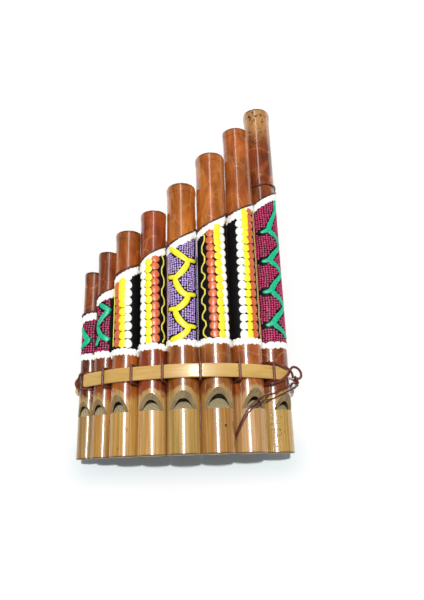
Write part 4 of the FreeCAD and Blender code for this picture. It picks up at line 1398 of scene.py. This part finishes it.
def ground(i):
    """Thin black coat with a slightly uneven outline."""
    cols, rows = 64, 60
    verts, faces = [], []
    for a in range(cols + 1):
        angle = PAINT_LEFT[i] + (PAINT_RIGHT[i] - PAINT_LEFT[i]) * a / cols
        low = PAINT_BOTTOM[i] + 0.9 + 0.2 * math.sin(a * 1.1 + i)
        high = paint_top(i, angle) + 0.2 * math.sin(a * 0.9 + 2 * i)
        for b in range(rows + 1):
            h = SUNK
            if 0 < a < cols and 0 < b < rows:
                h = 0.10 + 0.02 * noise.noise(Vector((a * 0.4, b * 0.5, i)))
            verts.append(on_skin(i, angle, low + (high - low) * (b / rows), h))
    w = rows + 1
    for a in range(cols):
        for b in range(rows):
            p = a * w + b
            faces.append((p, p + w, p + w + 1, p + 1))
    paint_object("paint_ground_%d" % (i + 1), verts, faces, "paint_black")


def border(i):
    """White bands with beaded edges along the lower and upper edges."""
    blobs = Blobs("paint_border_%d" % (i + 1), "paint_white")
    rng = random.Random(900 + i)
    vary = rng.uniform
    left, right = PAINT_LEFT[i] + 8, PAINT_RIGHT[i] - 8
    bottom, r = PAINT_BOTTOM[i], radius_at(i, 60)
    n = max(4, int(round(math.radians(right - left) * r / 2.3)))
    for k in range(n + 1):
        angle = left + (right - left) * k / n
        blobs.dot(i, angle, bottom + 1.05 + vary(-0.35, 0.3), half_w=1.30 + vary(-0.1, 0.2),
                  half_h=1.10 + vary(-0.1, 0.35), height=0.32, wobble=0.08)
        blobs.dot(i, angle + vary(-7, 7), bottom + 2.3 + vary(-0.2, 0.3), half_w=1.45,
                  half_h=1.05, height=0.34, wobble=0.08)
    blobs.line(i, [(left, bottom + 1.55), ((left + right) / 2, bottom + 1.6),
                   (right, bottom + 1.55)], width=2.2, height=0.28, round_ends=False)
    left, right = left + 3, right - 6
    climb = paint_top(i, right) - paint_top(i, left)
    n = max(5, int(round(math.hypot(math.radians(right - left) * r, climb) / 2.2)))
    angles = [left + (right - left) * q / 8.0 for q in range(9)]
    blobs.line(i, [(angle, paint_top(i, angle) - 1.9) for angle in angles], width=3.4,
               height=0.34, round_ends=False)
    for k in range(n + 1):
        angle = left + (right - left) * k / n
        top = paint_top(i, angle)
        blobs.dot(i, angle, top - 1.05 + vary(-0.25, 0.25), half_w=1.35,
                  half_h=1.25 + vary(-0.1, 0.2), height=0.36, wobble=0.08)
        blobs.dot(i, angle + vary(-5, 5), top - 2.9 + vary(-0.3, 0.2), half_w=1.35,
                  half_h=1.2, height=0.34, wobble=0.08)
    blobs.done()


for i in range(COUNT):
    ground(i)
for i in range(COUNT):
    border(i)


# ------------------------------------------------------------------ dot columns
# per pipe index: colour, (angle, y) guide below and above, first and last dot y, half width
COLUMNS = {
    2: [("orange", (-32, 52), (-44, 90), 54.0, 84.0, 2.1),
        ("yellow", (-6, 52), (-16, 90), 53.4, 86.0, 2.1),
        ("white", (17, 52), (10, 92), 53.2, 88.4, 2.0)],
    3: [("white", (-37, 54), (-46, 97), 54.2, 92.0, 2.1),
        ("yellow", (-11, 54), (-17, 98), 54.0, 94.8, 2.0),
        ("orange", (18, 54), (14, 99), 54.6, 96.6, 2.15)],
    5: [("orange", (-2, 55), (-12, 109), 55.5, 109.0, 2.25),
        ("yellow", (27, 55), (18, 113), 55.2, 112.4, 2.15),
        ("white", (47, 55), (38, 114), 55.4, 115.2, 1.95)],
    6: [("white", (-9, 55), (-9, 121), 56.0, 120.6, 2.1),
        ("yellow", (13, 55), (14, 121), 56.2, 123.2, 2.0),
        ("orange", (33, 55), (38, 124), 56.4, 124.2, 2.15)],
}
COLUMN_PITCH = 4.2
MERGED_TOPS = (2, 5, 6)                 # pipes whose topmost yellow dots run together


def dot_columns(i):
    """Columns of overlapping dots, bottom to top."""
    for colour, low, high, y0, y1, half_w in COLUMNS[i]:
        blobs = Blobs("paint_%s_%d" % (colour, i + 1), "paint_" + colour)
        vary = random.Random(100 * i + len(colour)).uniform
        n = int(round((y1 - y0) / COLUMN_PITCH))
        for k in range(n + 1):
            y = y0 + (y1 - y0) * k / n
            angle = float(np.interp(y, (low[1], high[1]), (low[0], high[0])))
            blobs.dot(i, angle + vary(-1, 1) * 0.96, y + vary(-1, 1) * 0.12,
                      half_w=half_w * 1.06 * (1 + vary(-0.05, 0.06)),
                      half_h=2.2 * (1 + vary(-0.06, 0.06)),
                      height=0.46 * (1 + vary(-0.1, 0.1)), sides=18, rings=5, wobble=0.035)
        if colour == "yellow" and i in MERGED_TOPS:
            angle = high[0]
            blobs.line(i, [(angle + 1.0, y1 - 11.0), (angle, y1 - 5.0), (angle, y1 + 1.6)],
                       width=4.3, height=0.5)
        blobs.done()


def wave_line(i, name, material, angle, swing, y0, y1, period, width, drift=0.0):
    """Thin irregular zigzag."""
    blobs = Blobs(name, material)
    rng = random.Random(name)
    path, y, sign = [], y0, 1
    while y < y1:
        u = (y - y0) / (y1 - y0)
        path.append((angle + drift * u + sign * swing * rng.uniform(0.5, 1.1), y))
        sign = -sign
        y += period * rng.uniform(0.85, 1.15) / 2
    path.append((angle + drift, y1))
    blobs.line(i, path, width=width, height=0.26)
    blobs.done()


def pale_zigzag(i, path, height):
    blobs = Blobs("paint_line_%d" % (i + 1), "paint_pale_line")
    blobs.line(i, path, width=0.95, height=height, smooth=1)
    blobs.done()


# (angle, y)
ZIGZAG_4 = [(38, 100.4), (66, 95.8), (40, 90.2), (69, 84.6), (40, 78.8), (71, 73.9),
            (40, 69.4), (70, 65.2), (40, 60.6), (69, 56.2), (50, 52.8)]
ZIGZAG_6 = [(-44, 110.8), (-28, 106.2), (-53, 100.6), (-27, 94.6), (-57, 89.5), (-27, 85.4),
            (-60, 81.5), (-28, 77.4), (-61, 73.0), (-29, 69.0), (-59, 64.8), (-28, 60.8),
            (-54, 56.8), (-30, 53.2)]

dot_columns(2)
wave_line(2, "paint_line_3", "paint_yellow", angle=-62, swing=2.0, y0=52.5, y1=85.0,
          period=6.0, width=0.9, drift=-2)
dot_columns(3)
pale_zigzag(3, ZIGZAG_4, height=0.26)
dot_columns(5)
pale_zigzag(5, ZIGZAG_6, height=0.28)
dot_columns(6)
wave_line(6, "paint_line_7", "paint_dull_line", angle=62, swing=4.0, y0=54.5, y1=127.0,
          period=9.0, width=0.55)
wave_line(6, "paint_line_7b", "paint_dull_line", angle=71, swing=4.0, y0=54.5, y1=128.0,
          period=8.0, width=0.55)


# ------------------------------------------------------------------ dot fields and bold lines
def distance_to(i, angle, y, path):
    """Distance over the pipe's surface to an (angle, y) path."""
    r = radius_at(i, 70)
    p = Vector((math.radians(angle) * r, y))
    best = 1e9
    for (angle0, y0), (angle1, y1) in zip(path, path[1:]):
        a = Vector((math.radians(angle0) * r, y0))
        d = Vector((math.radians(angle1) * r, y1)) - a
        t = max(0.0, min(1.0, (p - a).dot(d) / max(d.length_squared, 1e-9)))
        best = min(best, (p - a - d * t).length)
    return best


def dot_field(i, colour, angles, ys, keep_clear, pitch=(1.32, 1.24), r=0.55, tall=1.0,
              below_top=4.0, bare=None):
    """Rows of tiny dots, leaving out a bare angle band and anything near a path.

    keep_clear holds (path, distance) pairs; tall is a dot's height over its width.
    """
    name = "paint_%s_%d" % (colour, i + 1)
    blobs = Blobs(name, "paint_" + colour)
    rng = random.Random(name)
    step = math.degrees(pitch[0] / radius_at(i, 70))
    row, y = 0, ys[0]
    while y <= ys[1]:
        angle = angles[0] + step * 0.16 * math.sin(row * 0.5)
        while angle <= angles[1]:
            open_here = (y < paint_top(i, angle) - below_top
                         and not (bare and bare[0] < angle < bare[1]))
            if open_here and not any(distance_to(i, angle, y, path) < distance
                                     for path, distance in keep_clear):
                blobs.dot(i, angle + rng.uniform(-0.07, 0.07) * step,
                          y + rng.uniform(-0.16, 0.16), half_w=r * rng.uniform(0.92, 1.06),
                          half_h=r * tall * rng.uniform(0.94, 1.10), height=0.24, sides=8,
                          rings=3, wobble=0.05)
            angle += step
        y += pitch[1]
        row += 1
    blobs.done()


def barb(blobs, i, ends, sag, width, height, taper):
    """Short line between two (angle, y) ends, its middle sagging in y."""
    (angle0, y0), (angle1, y1) = ends
    middle = (0.5 * (angle0 + angle1), 0.5 * (y0 + y1) - sag)
    blobs.line(i, [ends[0], middle, ends[1]], width=width, height=height, taper=taper)


# all paths below are (angle, y)
ZIGZAG_5 = [(-50, 101.5), (-34, 100.0), (-8, 97.0), (14, 94.9),
            (28, 93.8), (24, 91.8), (8, 88.4), (-14, 85.6),
            (-27, 84.8), (-22, 82.0), (-8, 78.4), (8, 76.0),
            (26, 75.5), (23, 73.4), (6, 70.4), (-14, 68.6),
            (-27, 68.2), (-22, 65.6), (-8, 62.4), (10, 60.0),
            (27, 59.3), (22, 57.2), (2, 54.9), (-22, 53.4), (-48, 52.9)]
BARBS_5 = [[(22, 94.2), (66, 94.6)], [(-20, 85.0), (-61, 86.0)], [(20, 75.7), (64, 76.4)],
           [(-20, 68.5), (-56, 69.0)], [(20, 59.6), (61, 59.8)]]
WAVES_8 = [[(56, 136.4), (64, 133.4), (60, 130.0), (40, 125.4), (20, 119.8), (12, 116.4)],
           [(12, 116.2), (24, 115.2), (46, 113.6), (64, 110.8), (68, 108.6), (56, 106.2),
            (28, 102.6), (8, 98.6)],
           [(8, 98.4), (20, 97.4), (43, 95.8), (62, 93.4), (66, 91.6), (48, 89.2),
            (20, 85.2), (7, 81.2)],
           [(7, 81.0), (22, 79.6), (43, 77.6), (62, 74.8), (65, 73.0), (47, 70.4),
            (18, 66.5), (7, 63.5)],
           [(8, 63.2), (22, 62.0), (42, 60.2), (63, 58.2), (74, 56.6)]]
BARBS_8 = [[(14, 116.4), (-22, 115.1)], [(9, 98.7), (-23, 98.1)], [(8, 81.4), (-26, 80.7)],
           [(8, 63.8), (-22, 62.7)]]
WAVE_1 = [(-74, 66.6), (-58, 64.4), (-32, 61.4), (-6, 58.8), (-34, 57.2), (-76, 55.2)]
WAVE_2 = [(-34, 76.6), (-8, 74.6), (24, 73.0), (2, 71.0), (-22, 68.4), (-44, 64.8),
          (-30, 60.8), (-4, 58.4), (26, 57.2)]
TAIL_2 = [(-24, 59.6), (-40, 57.0), (-50, 54.6)]


def paint_pipe_5():
    """Yellow zigzag with barbs over lilac dots, and a pale line on the left."""
    blobs = Blobs("paint_zigzag_5", "paint_yellow")
    for k in range(0, len(ZIGZAG_5) - 1, 4):
        blobs.line(4, ZIGZAG_5[k:k + 5], width=lambda u: 3.0 + 0.4 * math.sin(math.pi * u),
                   height=0.48, taper=0.55)
    for ends in BARBS_5:
        barb(blobs, 4, ends, sag=0.15, width=lambda u: 2.7 - 0.5 * u, height=0.45, taper=0.5)
    blobs.done()
    dot_field(4, "lilac", angles=(-62, 78), ys=(53.6, 110), pitch=(1.28, 1.22), r=0.56,
              tall=1.06, bare=(60, 68),
              keep_clear=[(ZIGZAG_5, 2.0)] + [(ends, 1.85) for ends in BARBS_5])
    blobs = Blobs("paint_edge_5", "paint_pale_line")
    blobs.line(4, [(-66, 53), (-67, 80), (-66, 99)], width=0.55, height=0.2)
    blobs.done()


def paint_pipe_8():
    """Teal wave with barbs on its left, over crimson dots."""
    blobs = Blobs("paint_wave_8", "paint_teal")
    for wave in WAVES_8:
        blobs.line(7, wave, width=lambda u: 2.9 + 0.35 * math.cos(2 * math.pi * u),
                   height=0.46, taper=0.6)
    for ends in BARBS_8:
        barb(blobs, 7, ends, sag=0.1, width=lambda u: 2.9 - 1.3 * u, height=0.50, taper=0.7)
        angle, y = ends[0]
        blobs.dot(7, angle - 2, y + 0.1, half_w=1.9, half_h=1.5, height=0.56, sides=16)
    blobs.done()
    dot_field(7, "crimson", angles=(-45, 100), ys=(54.2, 140), pitch=(1.40, 1.24), r=0.63,
              tall=0.92, below_top=4.2,
              keep_clear=[(wave, 2.0) for wave in WAVES_8] + [(ends, 2.1) for ends in BARBS_8])


def paint_pipe_1():
    """Teal squiggle over crimson dots."""
    blobs = Blobs("paint_wave_1", "paint_teal")
    blobs.line(0, WAVE_1, width=lambda u: 2.5 + 0.8 * math.sin(math.pi * u), height=0.42)
    blobs.dot(0, -8, 59.4, half_w=1.5, half_h=1.3, height=0.5)
    blobs.done()
    dot_field(0, "crimson", angles=(-86, 34), ys=(52.0, 72), keep_clear=[(WAVE_1, 1.8)])


def paint_pipe_2():
    """Teal squiggle with a tail over crimson dots."""
    blobs = Blobs("paint_wave_2", "paint_teal")
    blobs.line(1, WAVE_2[:3], width=lambda u: 2.3 + 0.9 * u, height=0.44)
    blobs.line(1, WAVE_2[2:6], width=lambda u: 3.0 - 0.6 * u, height=0.42)
    blobs.line(1, WAVE_2[5:], width=lambda u: 2.3 + 0.8 * u, height=0.43)
    blobs.line(1, TAIL_2, width=2.0, height=0.40)
    blobs.dot(1, 20, 73.2, half_w=1.5, half_h=1.2, height=0.5)
    blobs.dot(1, 20, 57.8, half_w=1.4, half_h=1.1, height=0.5)
    blobs.done()
    dot_field(1, "crimson", angles=(-48, 30), ys=(52.0, 82),
              keep_clear=[(WAVE_2, 1.8), (TAIL_2, 1.8)])


paint_pipe_5()
paint_pipe_8()
paint_pipe_1()
paint_pipe_2()

# ------------------------------------------------------------------ growth specks
# (pipe index, angle, y, size)
SPECKS = [(7, -23.6, 18.7, 0.42), (7, -24.5, 16.8, 0.38), (7, -22.6, 13.5, 0.5),
          (7, -8.7, 13.8, 0.42), (7, -8.3, 7.8, 0.5), (7, -6.1, 5.4, 0.4),
          (7, -10.7, 2.9, 0.5), (7, 2.0, 8.2, 0.45), (7, -23.9, 10.7, 0.38),
          (7, -13.4, 11.1, 0.36), (7, -4.8, 1.6, 0.3), (5, 25.0, 12.4, 0.75),
          (5, 28.5, 11.6, 0.4), (2, 70.7, 15.0, 0.5), (7, -40, 191.5, 0.9),
          (7, -22, 193.6, 0.7), (7, -8, 190.8, 0.8), (7, 14, 191.6, 0.6),
          (7, -26, 187.6, 0.6), (7, -42, 170.6, 0.6), (7, -28, 173.4, 0.8),
          (7, -16, 172.0, 0.55), (7, 0, 172.8, 0.5), (7, -38, 168.6, 0.5),
          (7, 22, 176.0, 0.4), (0, 30.2, 13.7, 0.35), (3, -52.0, 9.0, 0.3),
          (6, 40.0, 6.5, 0.3), (1, 44.0, 17.0, 0.35)]
# beyond the strips on pipe 8: (angle, y, size)
STRIP_SPECKS = [(-12, 43.5, 0.45), (-2, 44.6, 0.4), (-1, 42.6, 0.4), (-13, 42.0, 0.35)]


def skin_specks():
    """Dark specks on the bare skin, with a scatter of tiny ones on pipe 8."""
    flat = {"height": 0.012, "base": 0.006, "rings": 2}
    blobs = Blobs("skin_specks", "growth_speck")
    rng = random.Random(77)
    for i, angle, y, size in SPECKS:
        blobs.dot(i, angle, y, half_w=size * rng.uniform(0.75, 1.0),
                  half_h=size * rng.uniform(0.9, 1.3), sides=10, wobble=0.16, **flat)
    for _ in range(70):
        blobs.dot(7, rng.gauss(-18, 12), rng.uniform(1.5, 33.0),
                  half_w=rng.uniform(0.12, 0.26), half_h=rng.uniform(0.14, 0.34), sides=7,
                  wobble=0.1, **flat)
    for angle, y, size in STRIP_SPECKS:
        blobs.dot(7, angle, y, half_w=size, half_h=size * 1.2, sides=9, wobble=0.12, **flat)
    blobs.done()


skin_specks()


# ------------------------------------------------------------------ floor, world
def floor_paper():
    """Off-white paper with a painted soft shadow, cool and darker, beside the mouth ends;
    positions in metres.
    """
    g = Shader("floor_paper")
    tone = g.noise(scale=(0.05, 0.05, 0.05))
    position = g.separate(g.new("NewGeometry").outputs["Position"])
    # painted shadow: a cool darker band on the paper just beyond the mouth ends
    patch = g.band(position[1], rise=(-0.116, -0.100), fall=(-0.080, -0.097))
    patch = g.mul(patch, g.step(g.math("ABSOLUTE", position[0]), span=(0.068, 0.048)))
    paper = g.mix(tone, (0.93, 0.935, 0.94), (0.90, 0.905, 0.91))
    painted_shadow_share, painted_shadow_color = 0.85, (0.68, 0.75, 0.79)
    return g.finish(color=g.mix(g.mul(patch, painted_shadow_share), paper, painted_shadow_color), rough=0.9,
                    spec=0.1)


def floor():
    half, z = 4.0, -0.0002              # metres
    me = bpy.data.meshes.new("floor")
    me.from_pydata([(-half, -half, z), (half, -half, z), (half, half, z), (-half, half, z)],
                   [], [(0, 1, 2, 3)])
    ob = bpy.data.objects.new("floor", me)
    bpy.context.scene.collection.objects.link(ob)
    me.materials.append(floor_paper())


def world():
    """Soft bluish light, dimmer in reflections and plain white to the camera."""
    w = bpy.data.worlds.new("soft")
    bpy.context.scene.world = w
    w.use_nodes = True
    nodes, link = w.node_tree.nodes, w.node_tree.links.new
    sky = nodes["Background"]
    sky.inputs["Color"].default_value = (0.86, 0.94, 1.0, 1.0)
    rays = nodes.new("ShaderNodeLightPath")
    strength = nodes.new("ShaderNodeMapRange")
    strength.inputs["To Min"].default_value = 0.31
    strength.inputs["To Max"].default_value = 0.10
    link(rays.outputs["Is Glossy Ray"], strength.inputs["Value"])
    link(strength.outputs[0], sky.inputs["Strength"])
    backdrop = nodes.new("ShaderNodeBackground")
    backdrop.inputs["Color"].default_value = (1.0, 1.0, 1.0, 1.0)
    backdrop.inputs["Strength"].default_value = 1.05
    mix = nodes.new("ShaderNodeMixShader")
    link(rays.outputs["Is Camera Ray"], mix.inputs[0])
    link(sky.outputs[0], mix.inputs[1])
    link(backdrop.outputs[0], mix.inputs[2])
    link(mix.outputs[0], nodes["World Output"].inputs[0])


# ------------------------------------------------------------------ lights, camera
def light(name, kind, energy, color, direction):
    data = bpy.data.lights.new(name, kind)
    data.energy = energy
    data.color = color
    ob = bpy.data.objects.new(name, data)
    bpy.context.scene.collection.objects.link(ob)
    ob.rotation_euler = Vector(direction).to_track_quat("-Z", "Y").to_euler()
    return ob


def tube_light(name, y, size, energy, color):
    """Long narrow light straight above, seen only as highlights along the pipes; mm."""
    ob = light(name, "AREA", energy, color, direction=(0.0, 0.0, -1.0))
    ob.data.shape = "RECTANGLE"
    ob.data.size, ob.data.size_y = size[0] * 0.001, size[1] * 0.001
    ob.location = to_frame((2.9, y, 189.5))
    ob.visible_diffuse = False


def key_light():
    """Sun from above, tipped toward the mouth ends, where it casts short crisp shadows."""
    ob = light("key", "SUN", energy=2.75, color=(1.0, 0.985, 0.96),
               direction=(0.0, -0.130, -1.0))
    ob.data.angle = math.radians(2.2)
    ob.visible_glossy = False


def camera():
    data = bpy.data.cameras.new("camera")
    ob = bpy.data.objects.new("camera", data)
    bpy.context.scene.collection.objects.link(ob)
    data.sensor_width = 36.0
    data.lens = 31.4124
    data.clip_start, data.clip_end = 0.01, 10.0
    pitch, yaw, roll = [Matrix.Rotation(math.radians(degrees), 3, axis) for degrees, axis in
                        ((18.5105, "X"), (-1.3674, "Y"), (-1.7796, "Z"))]
    pose = (yaw @ pitch @ roll).to_4x4()
    pose.translation = to_frame((9.03, -9.13, LAST_Z + 265.13))
    ob.matrix_world = pose
    bpy.context.scene.camera = ob


floor()
world()
tube_light("tube", y=52.0, size=(30, 150), energy=0.62, color=(1.0, 0.99, 0.97))
tube_light("tube_far", y=235.0, size=(26, 200), energy=0.10, color=(1.0, 0.97, 0.92))
key_light()
camera()
bpy.context.scene.view_settings.view_transform = "Standard"
bpy.context.scene.view_settings.look = "None"
